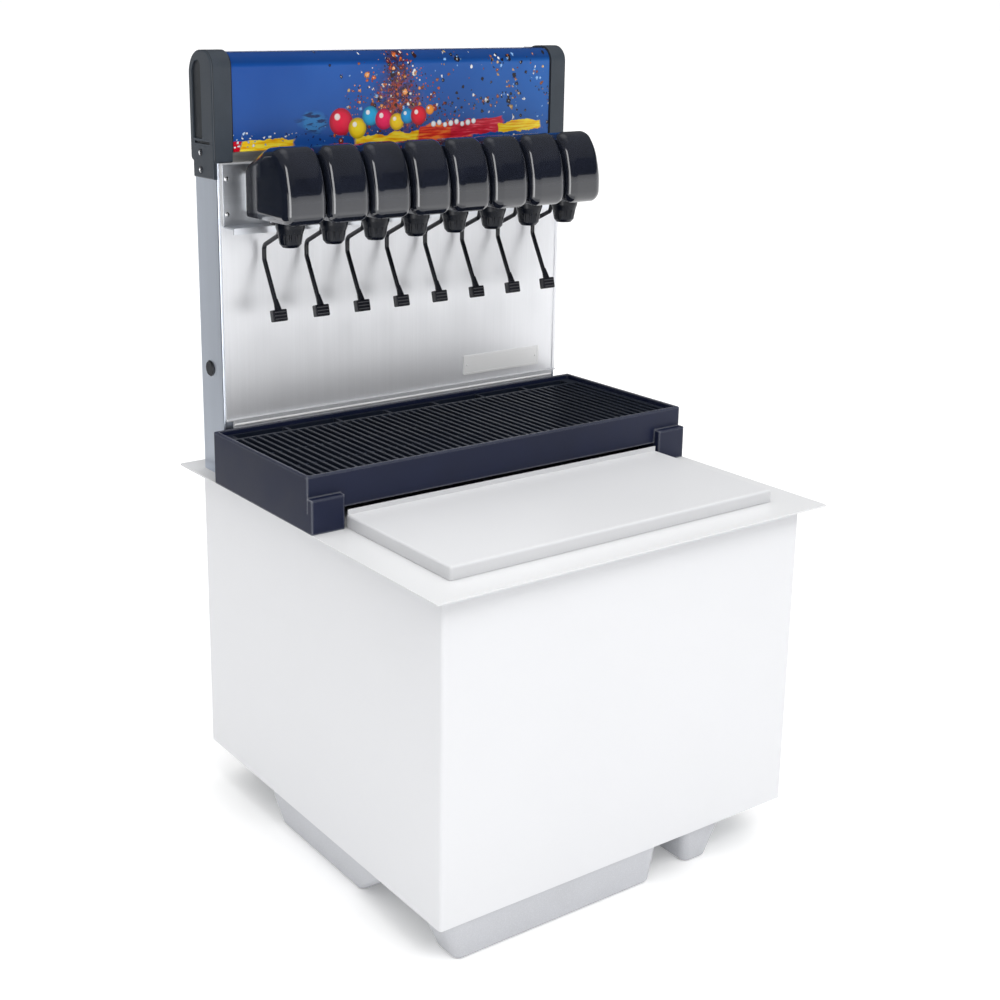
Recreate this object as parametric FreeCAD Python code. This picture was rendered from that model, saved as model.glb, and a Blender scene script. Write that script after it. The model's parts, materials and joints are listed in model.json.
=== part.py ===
import FreeCAD, Part
import math
import os

# Drop-in ice and beverage dispenser: an insulated ice bin that hangs in a counter by its deck
# flange, a sliding bin lid, a drip tray with a lift-out cup rest, and a tower that carries eight
# lever valves under a lit header.
# Millimetres. +Z is up, the front faces -Y and +X is to the right. The origin is on the floor,
# under the middle of the deck. Heights named *_Z count from the top of the deck.

V = FreeCAD.Vector
AXIS_X = V(1, 0, 0)
AXIS_Y = V(0, 1, 0)
AXIS_Z = V(0, 0, 1)

# Overall
DECK_W, DECK_D = 584.0, 600.0
CABINET_W, CABINET_D, CABINET_H = 538.0, 554.0, 400.0
FOOT_H, FOOT_CORNER_R, FOOT_EDGE_R = 53.0, 11.0, 6.0
DECK_TOP = FOOT_H + CABINET_H
BASE_Z = -CABINET_H
SHEET = 1.5
DECK_T = 2.0
SCREW_R, SCREW_CROWN_R, SCREW_H = 4.0, 2.6, 1.6

# Ice bin
BIN_W, BIN_FRONT, BIN_BACK, BIN_FLOOR_Z = 460.0, -248.0, 150.0, -347.0
LINER_T = 2.0
MOUTH_W, MOUTH_FRONT, MOUTH_BACK, MOUTH_R = 444.0, -240.0, -56.0, 12.0
COLD_W, COLD_FRONT, COLD_BACK, COLD_T = 457.0, -150.0, 110.0, 25.0
BIN_DRAIN_X, BIN_DRAIN_Y, DRAIN_R, DRAIN_TAIL, DRAIN_STEP = -100.0, -178.0, 12.5, 24.0, 1.0
CHASE_W, CHASE_FRONT, CHASE_BACK, CHASE_SLOT_D = 500.0, 212.0, 258.0, 16.0
SEAL_INSET, SEAL_GAP, SEAL_T = 5.0, 1.0, 2.0

# Bin lid, which slides on the deck and passes under the drip tray
LID_W, LID_FRONT, LID_BACK, LID_Z = 486.0, -254.0, -46.0, 16.0
LID_SKIRT_Z, LID_LIP_Z, LID_EDGE_R = 0.4, 22.0, 3.0

# Drip tray and cup rest
TRAY_W, TRAY_FRONT, TRAY_BACK, TRAY_H = 584.0, -39.0, 197.0, 68.0
TRAY_UNDER_Z, TRAY_FLOOR_Z, TRAY_LEDGE_Z = 24.0, 27.0, 50.0
TRAY_WALL, TRAY_RIM = 10.0, 4.5
LEG_W, LEG_FRONT, LEG_BACK, LEG_STEP_Z = 45.0, -49.0, -10.0, 42.0
TRAY_DRAIN_Y, TRAY_DRAIN_R = 176.0, 9.0
GRILLE_GAP, GRILLE_T = 1.2, 12.0
BAR_PITCH, BAR_SLOT, RIB_T, REAR_SLOT_D, REAR_PITCH = 11.7, 7.6, 5.0, 17.0, 78.0

# Tower
TOWER_W, TOWER_FRONT, TOWER_BACK, TOWER_Z = 544.0, 205.0, 266.0, 405.0
SPLASH_W, SPLASH_FOOT_Z = 540.0, 78.0
PLUG_Y, PLUG_Z, PLUG_R = 240.0, 140.0, 10.5
LABEL_X, LABEL_W, LABEL_Z, LABEL_H = 105.0, 135.0, 88.0, 28.0
GLAND_X, GLAND_Z, GLAND_R = 200.0, 60.0, 9.0
TRANSFORMER_X, TRANSFORMER_Z, TRANSFORMER_W, TRANSFORMER_H = -180.0, 235.0, 64.0, 60.0
TRANSFORMER_D, WINDING_D, WINDING_INSET = 26.0, 29.0, 10.0
HATCH_W, HATCH_Z, HATCH_TOP_Z, HATCH_T, HATCH_RIM, HATCH_SCREW = 440.0, 110.0, 350.0, 1.2, 24.0, 12.0
WINDOW_RIM, HEM_W, LEDGE_D, DROP_H = 14.0, 4.0, 5.0, 12.0
VENT_COUNT, VENT_PITCH, VENT_W, VENT_H, VENT_X, VENT_Z = 8, 9.0, 60.0, 4.0, 70.0, 262.0

# Header
CAP_IN, CAP_OUT, CAP_FRONT, CAP_Z, CAP_TOP_Z = 251.0, 277.0, 202.0, 405.0, 541.0
CAP_FRONT_R, CAP_BACK_R, CAP_WALL = 22.0, 30.0, 3.0
NECK_Z, NECK_BACK = 385.0, 258.0
GROOVE_Z, GROOVE_H, POCKET_Z, POCKET_TOP_Z, RECESS_D = 427.0, 3.5, 433.0, 529.0, 1.8
CAP_SCREW_Y, CAP_SCREW_HEIGHTS = 238.0, (395.0, 416.5)
PANEL_FRONT, PANEL_T, PANEL_Z, PANEL_TOP_Z, PANEL_R = 204.0, 3.0, 418.0, 538.0, 18.0
PANEL_TOP_BACK = 236.0
LAMP_Y, LAMP_Z, LAMP_R, LAMP_L = 241.0, 482.0, 13.0, 460.0
LAMP_PIN_R, LAMP_PIN_L, LAMP_PIN_DY = 1.2, 5.0, 6.0
BALLAST_L, BALLAST_FRONT, BALLAST_BACK, BALLAST_H = 180.0, 222.0, 260.0, 26.0

# Valves
VALVE_COUNT, VALVE_PITCH = 8, 61.6
COVER_W, COVER_T, COVER_BACK, COVER_Z, COVER_EDGE_R = 58.0, 2.5, 192.0, 336.0, 14.0
NOZZLE_Y, NOZZLE_Z, NOZZLE_TOP_R, NOZZLE_MID_R, NOZZLE_R = 124.0, 307.0, 18.5, 15.5, 10.0
NOZZLE_BORE = 7.5
FLUTE_COUNT, FLUTE_R, FLUTE_H = 12, 1.6, 17.0
BODY_Z, BODY_TOP_Z, BODY_W, BODY_FRONT, BODY_BACK = 343.0, 395.0, 44.0, 94.0, 172.0
BLOCK_W, BLOCK_Z, BLOCK_TOP_Z = 38.0, 344.0, 391.0
CHEEK_IN, CHEEK_OUT, CHEEK_D, CHEEK_Z = 9.0, 12.0, 12.0, 332.0
COIL_X, COIL_Y, COIL_R, COIL_H, CORE_R, CORE_H = 11.0, 118.0, 9.5, 22.0, 3.0, 26.0
BRACKET_T, RIVET_X, RIVET_HEIGHTS = 2.0, 261.0, (342.0, 386.0)
BRACKET_W, BRACKET_Z, BRACKET_TOP_Z, SHELF_FRONT, SHELF_LIP_Z = 536.0, 326.0, 403.0, 171.0, 320.0
PIVOT_Y, PIVOT_Z, PIN_R, HUB_R, HUB_W = 150.0, 337.0, 2.0, 4.6, 10.0
WIRE_R, PAD_W, PAD_T, PAD_DROP, PAD_RISE = 2.9, 20.0, 10.0, 8.0, 7.0
PAD_Y, PAD_Z, PAD_TILT = 157.0, 217.0, -14.0
WIRE_BENDS = ((154.0, 318.0, 7.0), (192.0, 301.0, 9.0), (192.0, 283.0, 9.0))
SPRING_TURNS, SPRING_WIRE, SPRING_GAP = 3, 0.8, 0.4
LINE_R, LINE_Z, LINE_Y, INLET_Y = 3.0, 372.0, 232.0, 221.0
OUTLET_Z, INLET_Z, LINE_DX, LINE_BEND_R = -329.0, -339.0, 8.0, 16.0
BARB_Z, BARB_H, BARB_R = -24.0, 6.0, 4.4


def valve_x(index):
    return (index - (VALVE_COUNT - 1) / 2) * VALVE_PITCH


def box(x, y, z):
    """A block between pairs of limits."""
    return Part.makeBox(x[1] - x[0], y[1] - y[0], z[1] - z[0], V(x[0], y[0], z[0]))


def rod(radius, start, end):
    """A round bar from one point to another."""
    return Part.makeCylinder(radius, (end - start).Length, start, end - start)


def joined(shapes):
    """One solid from shapes that overlap or share faces."""
    whole = shapes[0]
    if len(shapes) > 1:
        whole = whole.fuse(shapes[1:])
    return whole.removeSplitter()


def outline(points, radii, closed=True):
    """A wire through corner points, with a tangent arc of the given radius at each corner."""
    count = len(points)
    starts = []
    ends = []
    edges = []
    for i, (corner, radius) in enumerate(zip(points, radii)):
        starts.append(corner)
        ends.append(corner)
        if radius <= 0:
            continue
        before = (points[i - 1] - corner).normalize()
        after = (points[(i + 1) % count] - corner).normalize()
        half = before.getAngle(after) / 2
        reach = radius / math.tan(half)
        inward = (before + after).normalize()
        starts[i] = corner + before * reach
        ends[i] = corner + after * reach
        middle = corner + inward * (radius / math.sin(half) - radius)
        edges.append((i, Part.Arc(starts[i], middle, ends[i]).toShape()))
    arcs = dict(edges)
    path = []
    for i in range(count):
        if i in arcs:
            path.append(arcs[i])
        if i == count - 1 and not closed:
            break
        nxt = starts[(i + 1) % count]
        if (nxt - ends[i]).Length > 1e-6:
            path.append(Part.LineSegment(ends[i], nxt).toShape())
    return Part.Wire(path)


def prism_x(profile, radii, x):
    """A (y, z) profile with rounded corners, stretched along X between two limits."""
    wire = outline([V(x[0], y, z) for y, z in profile], radii)
    return Part.Face(wire).extrude(V(x[1] - x[0], 0, 0))


def prism_y(profile, radii, y):
    """An (x, z) profile with rounded corners, stretched along Y between two limits."""
    wire = outline([V(x, y[0], z) for x, z in profile], radii)
    return Part.Face(wire).extrude(V(0, y[1] - y[0], 0))


def plate(x, y, z, radius):
    """A flat plate whose upright corner edges are rounded."""
    corners = [V(x[0], y[0], z[0]), V(x[1], y[0], z[0]), V(x[1], y[1], z[0]), V(x[0], y[1], z[0])]
    return Part.Face(outline(corners, [radius] * 4)).extrude(V(0, 0, z[1] - z[0]))


def bent_rod(points, radii, radius):
    """A round bar along straight runs joined by tangent arcs."""
    path = outline(points, radii, closed=False)
    section = Part.Wire(Part.makeCircle(radius, points[0], points[1] - points[0]))
    return path.makePipeShell([section], True, True)


def rounded(shape, radius, chosen):
    """The shape with a fillet on every edge that the test chooses."""
    return shape.makeFillet(radius, [edge for edge in shape.Edges if chosen(edge)])


def along(edge, axis):
    """True for a straight edge parallel to an axis."""
    if not isinstance(edge.Curve, (Part.Line, Part.LineSegment)):
        return False
    return abs(abs(edge.tangentAt(edge.FirstParameter).dot(axis)) - 1) < 1e-6


def screw_head(face, outward):
    """A low domed screw head on a face."""
    return Part.makeCone(SCREW_R, SCREW_CROWN_R, SCREW_H, face, outward)


def mirrored_pair(shape):
    """A shape and its mirror image across the middle plane."""
    return [shape, shape.mirror(V(0, 0, 0), AXIS_X)]


# Cabinet and ice bin


def cabinet_shell():
    half_w, half_d = CABINET_W / 2, CABINET_D / 2
    outer = plate((-half_w, half_w), (-half_d, half_d), (BASE_Z, -DECK_T), 4.0)
    inner_w, inner_d = half_w - SHEET, half_d - SHEET
    hollow = plate((-inner_w, inner_w), (-inner_d, inner_d), (BASE_Z, -DECK_T), 2.5)
    return [outer.cut(hollow)]


def base_pan():
    half_w, half_d = CABINET_W / 2 - SHEET, CABINET_D / 2 - SHEET
    pan = plate((-half_w, half_w), (-half_d, half_d), (BASE_Z, BASE_Z + DECK_T), 2.5)
    half = CHASE_W / 2
    y = (CHASE_FRONT + 1, CHASE_FRONT + 1 + CHASE_SLOT_D)
    slot = box((-half, half), y, (BASE_Z - 1, BASE_Z + DECK_T + 1))
    return [pan.cut([bin_drain_hole(), tray_drain_hole(), slot])]


def chase():
    """The upright passage for product lines behind the bin."""
    half = CHASE_W / 2
    return box((-half, half), (CHASE_FRONT, CHASE_BACK), (BASE_Z - 1, 1))


def bin_drain_hole():
    return rod(DRAIN_R, V(BIN_DRAIN_X, BIN_DRAIN_Y, BASE_Z - 1), V(BIN_DRAIN_X, BIN_DRAIN_Y, BIN_FLOOR_Z + 1))


def tray_drain_hole():
    return rod(TRAY_DRAIN_R, V(0, TRAY_DRAIN_Y, BASE_Z - 1), V(0, TRAY_DRAIN_Y, TRAY_FLOOR_Z + 1))


def line_holes(radius):
    """Passages for the product lines between the chase and the cold plate."""
    holes = []
    for index in range(VALVE_COUNT):
        x = valve_x(index)
        for dx in (-LINE_DX, LINE_DX):
            holes.append(rod(radius, V(x + dx, COLD_BACK, OUTLET_Z), V(x + dx, CHASE_FRONT + 1, OUTLET_Z)))
        holes.append(rod(radius, V(x, COLD_BACK, INLET_Z), V(x, CHASE_FRONT + 1, INLET_Z)))
    return holes


def insulation_foam():
    half_w, half_d = CABINET_W / 2 - SHEET, CABINET_D / 2 - SHEET
    foam = plate((-half_w, half_w), (-half_d, half_d), (BASE_Z + DECK_T, -DECK_T), 2.5)
    return [foam.cut([liner_block(), chase(), bin_drain_hole(), tray_drain_hole()] + line_holes(LINE_R))]


def liner_block():
    half = BIN_W / 2 + LINER_T
    y = (BIN_FRONT - LINER_T, BIN_BACK + LINER_T)
    return box((-half, half), y, (BIN_FLOOR_Z - LINER_T, -DECK_T))


def bin_liner():
    half = BIN_W / 2
    hollow = plate((-half, half), (BIN_FRONT, BIN_BACK), (BIN_FLOOR_Z, 0), 14.0)
    return [liner_block().cut([hollow, bin_drain_hole()] + line_holes(LINE_R))]


def cold_plate():
    half = COLD_W / 2
    z = (BIN_FLOOR_Z, BIN_FLOOR_Z + COLD_T)
    slab = plate((-half, half), (COLD_FRONT, COLD_BACK), z, 1.5)
    return [rounded(slab, 1.0, lambda e: abs(e.BoundBox.ZMin - z[1]) < 1e-6)]


def bin_drain_fitting():
    base = V(BIN_DRAIN_X, BIN_DRAIN_Y, BASE_Z)
    tail = base - AXIS_Z * DRAIN_TAIL
    floor = V(BIN_DRAIN_X, BIN_DRAIN_Y, BIN_FLOOR_Z)
    top = floor + AXIS_Z * 3
    flange = rod(DRAIN_R + 5.5, floor, top)
    pipe = rod(DRAIN_R, base, top)
    spigot = rod(DRAIN_R - DRAIN_STEP, tail, base)
    return [joined([flange, pipe, spigot]).cut(rod(DRAIN_R - 3, tail, top))]


def deck_flange():
    half_w, half_d, half_mouth = DECK_W / 2, DECK_D / 2, MOUTH_W / 2
    deck = plate((-half_w, half_w), (-half_d, half_d), (-DECK_T, 0), 3.0)
    mouth = plate((-half_mouth, half_mouth), (MOUTH_FRONT, MOUTH_BACK), (-DECK_T, 0), MOUTH_R)
    return [deck.cut([mouth, chase(), tray_drain_hole()])]


def deck_seal():
    """The soft ring under the flange that seals it to the counter."""
    half_w, half_d = DECK_W / 2 - SEAL_INSET, DECK_D / 2 - SEAL_INSET
    in_w, in_d = CABINET_W / 2 + SEAL_GAP, CABINET_D / 2 + SEAL_GAP
    z = (-DECK_T - SEAL_T, -DECK_T)
    ring = plate((-half_w, half_w), (-half_d, half_d), z, 3.0)
    return [ring.cut(plate((-in_w, in_w), (-in_d, in_d), z, 3.0))]


def skid(foot_x, foot_y, top_x, top_y):
    """A moulded skid with sloping sides, upright corner rounding and a rounded sole."""
    wires = []
    for x, y, z in ((foot_x, foot_y, BASE_Z - FOOT_H), (top_x, top_y, BASE_Z)):
        corners = [V(x[0], y[0], z), V(x[1], y[0], z), V(x[1], y[1], z), V(x[0], y[1], z)]
        wires.append(outline(corners, [FOOT_CORNER_R] * 4))
    body = Part.makeLoft(wires, True, True)
    return rounded(body, FOOT_EDGE_R, lambda e: e.BoundBox.ZMax < BASE_Z - FOOT_H + 1e-3)


def foot_front():
    return [skid((-239, 55), (-268, -225), (-259, 59), (-275, -214))]


def foot_rear():
    return [skid((-150, 60), (235, 264), (-168, 78), (231, 270))]


def foot_left():
    return [skid((-254, -216), (-87, 107), (-267, -202), (-155, 117))]


def foot_right():
    return [skid((118, 156), (-262, 150), (106, 174), (-270, 168))]


# Bin lid


def bin_lid():
    half = LID_W / 2
    pan = box((-half, half), (LID_FRONT, LID_BACK), (LID_SKIRT_Z, LID_Z))
    top_edges = lambda e: e.BoundBox.ZMin > LID_Z - 1e-6 and e.BoundBox.YMin < LID_BACK - 1
    front_corners = lambda e: along(e, AXIS_Z) and e.BoundBox.YMax < LID_FRONT + 1
    pan = rounded(pan, LID_EDGE_R, lambda e: top_edges(e) or front_corners(e))
    inside = half - SHEET
    pan = pan.cut(box((-inside, inside), (LID_FRONT + SHEET, LID_BACK + 1), (0, LID_Z - SHEET)))
    lip = box((-half + 1, half - 1), (LID_BACK - SHEET, LID_BACK), (LID_Z - SHEET, LID_LIP_Z))
    return [joined([pan, lip])]


# Drip tray


def drip_tray():
    half = TRAY_W / 2
    y = (TRAY_FRONT, TRAY_BACK)
    body = box((-half, half), y, (0, TRAY_H))
    body = rounded(body, 2.0, lambda e: along(e, AXIS_Z) or e.BoundBox.ZMin > TRAY_H - 1)
    tunnel = box((-half + TRAY_WALL, half - TRAY_WALL), (TRAY_FRONT - 1, TRAY_BACK - 4), (-1, TRAY_UNDER_Z))
    low = half - TRAY_WALL
    basin = box((-low, low), (y[0] + TRAY_WALL, y[1] - TRAY_WALL), (TRAY_FLOOR_Z, TRAY_H + 1))
    wide = half - TRAY_RIM
    seat = plate((-wide, wide), (y[0] + TRAY_RIM, y[1] - TRAY_RIM), (TRAY_LEDGE_Z, TRAY_H + 1), 5.0)
    body = body.cut([tunnel, basin, seat, tray_drain_hole()])
    return [joined([body] + [drip_tray_leg(side) for side in (-1, 1)])]


def drip_tray_leg(side):
    half = TRAY_W / 2
    x = sorted((side * half, side * (half - LEG_W)))
    post = box(x, (LEG_FRONT, LEG_BACK), (0, TRAY_UNDER_Z))
    pad = box(x, (LEG_FRONT, TRAY_FRONT), (0, LEG_STEP_Z))
    post = joined([post, pad])
    return rounded(post, 2.0, lambda e: e.BoundBox.YMax < LEG_FRONT + 1 and e.BoundBox.ZMax > 1)


def cup_rest_grille():
    half = TRAY_W / 2 - TRAY_RIM - GRILLE_GAP
    y = (TRAY_FRONT + TRAY_RIM + GRILLE_GAP, TRAY_BACK - TRAY_RIM - GRILLE_GAP)
    z = (TRAY_LEDGE_Z + 0.3, TRAY_LEDGE_Z + 0.3 + GRILLE_T)
    frame = plate((-half, half), y, z, 4.0)
    rear_y = y[1] - RIB_T - REAR_SLOT_D
    fields = []
    field_d = (rear_y - RIB_T - y[0] - RIB_T) / 3
    bars = int((2 * half - 2 * RIB_T) / BAR_PITCH)
    for row in range(3):
        start = y[0] + RIB_T + row * field_d
        end = start + field_d - (0 if row == 2 else RIB_T)
        for bar in range(bars):
            x = (bar - (bars - 1) / 2) * BAR_PITCH
            fields.append(box((x - BAR_SLOT / 2, x + BAR_SLOT / 2), (start, end), z))
    slots = int(2 * half / REAR_PITCH)
    for slot in range(slots):
        x = (slot - (slots - 1) / 2) * REAR_PITCH
        reach = (REAR_PITCH - RIB_T) / 2
        fields.append(box((x - reach, x + reach), (rear_y, rear_y + REAR_SLOT_D), z))
    return [frame.cut(fields)]


def tray_drain_tube():
    base = V(0, TRAY_DRAIN_Y, BASE_Z)
    tail = base - AXIS_Z * DRAIN_TAIL
    top = V(0, TRAY_DRAIN_Y, TRAY_FLOOR_Z)
    pipe = joined([rod(TRAY_DRAIN_R, base, top), rod(TRAY_DRAIN_R - DRAIN_STEP, tail, base)])
    return [pipe.cut(rod(TRAY_DRAIN_R - 3, tail, top))]


# Tower


def tower_shell():
    half = TOWER_W / 2
    outer = box((-half, half), (TOWER_FRONT, TOWER_BACK), (0, TOWER_Z))
    outer = rounded(outer, 2.0, lambda e: along(e, AXIS_Z))
    inner = half - SHEET
    hollow = box((-inner, inner), (TOWER_FRONT + SHEET, TOWER_BACK - SHEET), (-1, TOWER_Z + 1))
    open_half = half - WINDOW_RIM
    window = box((-open_half, open_half), (TOWER_FRONT - 1, TOWER_FRONT + SHEET + 1), (-1, TOWER_Z + 1))
    plug = rod(PLUG_R - 3, V(-half - 1, PLUG_Y, PLUG_Z), V(-half + 3, PLUG_Y, PLUG_Z))
    gland = rod(GLAND_R, V(GLAND_X, TOWER_BACK - 3, GLAND_Z), V(GLAND_X, TOWER_BACK + 1, GLAND_Z))
    reach = HATCH_W / 2 - HATCH_RIM
    service_z = (HATCH_Z + HATCH_RIM, HATCH_TOP_Z - HATCH_RIM)
    service = box((-reach, reach), (TOWER_BACK - 3, TOWER_BACK + 1), service_z)
    return [outer.cut([hollow, window, plug, gland, service])]


def power_gland():
    inside = V(GLAND_X, TOWER_BACK - 8, GLAND_Z)
    outside = V(GLAND_X, TOWER_BACK, GLAND_Z)
    barrel = rod(GLAND_R, inside, outside + AXIS_Y * 6)
    collar = rod(GLAND_R + 4, outside, outside + AXIS_Y * 5)
    nose = Part.makeCone(GLAND_R + 1, GLAND_R - 2, 11, outside + AXIS_Y * 5, AXIS_Y)
    gland = joined([barrel, collar, nose])
    return [gland.cut(rod(4.5, inside - AXIS_Y, outside + AXIS_Y * 20))]


def splash_panel():
    half = SPLASH_W / 2
    front = TOWER_FRONT - SHEET
    sheet = box((-half, half), (front, TOWER_FRONT), (SPLASH_FOOT_Z - SHEET, TOWER_Z))
    edge = front - LEDGE_D
    ledge = box((-half, half), (edge, front), (SPLASH_FOOT_Z - SHEET, SPLASH_FOOT_Z))
    drop = box((-half + 8, half - 8), (edge, edge + SHEET), (SPLASH_FOOT_Z - DROP_H, SPLASH_FOOT_Z))
    hems = mirrored_pair(box((half - HEM_W, half), (front - SHEET, front), (SPLASH_FOOT_Z, TOWER_Z)))
    sheet = joined([sheet, ledge, drop] + hems)
    holes = []
    for index in range(VALVE_COUNT):
        for dx in (-LINE_DX, LINE_DX):
            x = valve_x(index) + dx
            holes.append(rod(LINE_R + 1, V(x, front - 1, LINE_Z), V(x, TOWER_FRONT + 1, LINE_Z)))
    return [sheet.cut(holes)]


def side_plug():
    face = V(-TOWER_W / 2, PLUG_Y, PLUG_Z)
    head = Part.makeCone(PLUG_R, PLUG_R - 1.5, 2.0, face, -AXIS_X)
    stem = rod(PLUG_R - 3, face, face + AXIS_X * 6)
    return [joined([head, stem])]


def label_plate():
    face = TOWER_FRONT - SHEET
    x = (LABEL_X, LABEL_X + LABEL_W)
    z = (LABEL_Z, LABEL_Z + LABEL_H)
    plate_solid = box(x, (face - 1.0, face), z)
    return [rounded(plate_solid, 2.0, lambda e: along(e, AXIS_Y))]


def rear_hatch():
    """The removable panel on the tower's back, which carries the transformer and has vent slots."""
    half = HATCH_W / 2
    y = (TOWER_BACK, TOWER_BACK + HATCH_T)
    panel = box((-half, half), y, (HATCH_Z, HATCH_TOP_Z))
    panel = rounded(panel, 6.0, lambda e: along(e, AXIS_Y))
    slots = []
    for row in range(VENT_COUNT):
        z = VENT_Z + (row - (VENT_COUNT - 1) / 2) * VENT_PITCH
        for x in (-VENT_X, VENT_X):
            slots.append(box((x - VENT_W / 2, x + VENT_W / 2), (y[0] - 1, y[1] + 1), (z, z + VENT_H)))
    return [panel.cut(slots)]


def rear_hatch_screws():
    face = TOWER_BACK + HATCH_T
    screws = []
    for z in (HATCH_Z + HATCH_SCREW, (HATCH_Z + HATCH_TOP_Z) / 2, HATCH_TOP_Z - HATCH_SCREW):
        screws += mirrored_pair(screw_head(V(HATCH_W / 2 - HATCH_SCREW, face, z), AXIS_Y))
    return screws


def power_transformer():
    x = (TRANSFORMER_X, TRANSFORMER_X + TRANSFORMER_W)
    z = (TRANSFORMER_Z, TRANSFORMER_Z + TRANSFORMER_H)
    back = TOWER_BACK
    core = box(x, (back - TRANSFORMER_D, back), z)
    inset = WINDING_INSET
    winding = box((x[0] + inset, x[1] - inset), (back - WINDING_D, back), (z[0] + inset, z[1] - inset))
    return [joined([core, winding])]


# Header


def cap_profile(inset):
    """The end cap's side outline, inset by a wall thickness."""
    y = (CAP_FRONT + inset, TOWER_BACK - inset)
    z = (CAP_Z + inset, CAP_TOP_Z - inset)
    return [(y[0], z[0]), (y[1], z[0]), (y[1], z[1]), (y[0], z[1])]


def end_cap_left():
    body = prism_x(cap_profile(0), [4, 6, CAP_BACK_R, CAP_FRONT_R], (-CAP_OUT, -CAP_IN))
    body = rounded(body, 2.5, lambda e: abs(e.BoundBox.XMax + CAP_OUT) < 1e-6)
    radii = [0, 3, CAP_BACK_R - CAP_WALL, CAP_FRONT_R - CAP_WALL]
    hollow = prism_x(cap_profile(CAP_WALL), radii, (-CAP_OUT + CAP_WALL, -CAP_IN + 1))
    neck = box((-CAP_OUT, -TOWER_W / 2 - 0.3), (CAP_FRONT + 2, NECK_BACK), (NECK_Z, CAP_Z + 8))
    neck = rounded(neck, 2.0, lambda e: e.BoundBox.ZMax < NECK_Z + 1 and e.BoundBox.XMax < -CAP_OUT + 1)
    x = (-CAP_OUT - 1, -CAP_OUT + RECESS_D)
    groove = box(x, (CAP_FRONT + 10, TOWER_BACK - 12), (GROOVE_Z, GROOVE_Z + GROOVE_H))
    front, back = CAP_FRONT + 30, TOWER_BACK - 9
    pocket_profile = [(front, POCKET_Z), (back, POCKET_Z), (back, POCKET_TOP_Z), (front, POCKET_TOP_Z)]
    pocket = prism_x(pocket_profile, [3, 3, 16, 8], x)
    return [joined([body.cut(hollow), neck]).cut([groove, pocket])]


def end_cap_right():
    return [end_cap_left()[0].mirror(V(0, 0, 0), AXIS_X)]


def end_cap_screws():
    screws = []
    for z in CAP_SCREW_HEIGHTS:
        screws += mirrored_pair(screw_head(V(-CAP_OUT, CAP_SCREW_Y, z), -AXIS_X))
    return screws


def header_housing():
    half = CAP_IN - 0.5
    y = (TOWER_FRONT + 2, TOWER_BACK)
    top = PANEL_TOP_Z - PANEL_T - 0.1
    outer = box((-half, half), y, (TOWER_Z, top))
    hollow = box((-half - 1, half + 1), (y[0] - 1, y[1] - SHEET), (TOWER_Z + SHEET, top - SHEET))
    open_top = box((-half - 1, half + 1), (y[0] - 1, PANEL_TOP_BACK - 8), (TOWER_Z + SHEET, top + 1))
    return [outer.cut([hollow, open_top])]


def header_graphic_panel():
    half = CAP_IN - 0.5
    inner_front, inner_top = PANEL_FRONT + PANEL_T, PANEL_TOP_Z - PANEL_T
    profile = [
        (PANEL_FRONT, PANEL_Z),
        (PANEL_FRONT, PANEL_TOP_Z),
        (TOWER_BACK - 3, PANEL_TOP_Z),
        (TOWER_BACK - 3, inner_top),
        (inner_front, inner_top),
        (inner_front, PANEL_Z),
    ]
    radii = [0, PANEL_R, 0, 0, PANEL_R - PANEL_T, 0]
    return [prism_x(profile, radii, (-half, half))]


def header_trim():
    half = CAP_IN - 0.5
    strip = box((-half, half), (PANEL_FRONT, PANEL_FRONT + PANEL_T), (TOWER_Z, PANEL_Z - 0.2))
    return [rounded(strip, 1.0, lambda e: along(e, AXIS_X) and e.BoundBox.YMax < PANEL_FRONT + 1)]


def lamp_tube():
    half = LAMP_L / 2
    glass = rod(LAMP_R, V(-half, LAMP_Y, LAMP_Z), V(half, LAMP_Y, LAMP_Z))
    pins = []
    reach = half + LAMP_PIN_L
    for y in (LAMP_Y - LAMP_PIN_DY, LAMP_Y + LAMP_PIN_DY):
        pins.append(rod(LAMP_PIN_R, V(-reach, y, LAMP_Z), V(reach, y, LAMP_Z)))
    return [joined([glass] + pins)]


def lamp_holders():
    near = LAMP_L / 2
    holder = box((near + 0.5, near + 14), (LAMP_Y - 11, TOWER_BACK - SHEET), (LAMP_Z - 14, LAMP_Z + 14))
    for y in (LAMP_Y - LAMP_PIN_DY, LAMP_Y + LAMP_PIN_DY):
        holder = holder.cut(rod(LAMP_PIN_R, V(near, y, LAMP_Z), V(near + LAMP_PIN_L, y, LAMP_Z)))
    return mirrored_pair(holder)


def lamp_ballast():
    half, foot = BALLAST_L / 2, TOWER_Z + SHEET
    block = box((-half, half), (BALLAST_FRONT, BALLAST_BACK), (foot, foot + BALLAST_H))
    return [rounded(block, 3.0, lambda e: along(e, AXIS_X) and e.BoundBox.ZMin > foot + 1)]


# Valves


def valve_bracket():
    half = BRACKET_W / 2
    back = TOWER_FRONT - SHEET
    shelf_top = BRACKET_Z + BRACKET_T
    upright = box((-half, half), (back - BRACKET_T, back), (BRACKET_Z, BRACKET_TOP_Z))
    shelf = box((-half, half), (SHELF_FRONT, back), (BRACKET_Z, shelf_top))
    lip = box((-half, half), (SHELF_FRONT, SHELF_FRONT + BRACKET_T), (SHELF_LIP_Z, shelf_top))
    bracket = joined([upright, shelf, lip])
    hem_y = (back - BRACKET_T - 0.5, back)
    hem = box((SPLASH_W / 2 - HEM_W, half + 1), hem_y, (BRACKET_Z - 1, BRACKET_TOP_Z + 1))
    hem_space = mirrored_pair(hem)
    holes = []
    for index in range(VALVE_COUNT):
        for dx in (-LINE_DX, LINE_DX):
            x = valve_x(index) + dx
            holes.append(rod(LINE_R + 1, V(x, back - BRACKET_T - 1, LINE_Z), V(x, back + 1, LINE_Z)))
    return [bracket.cut(holes + hem_space)]


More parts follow.
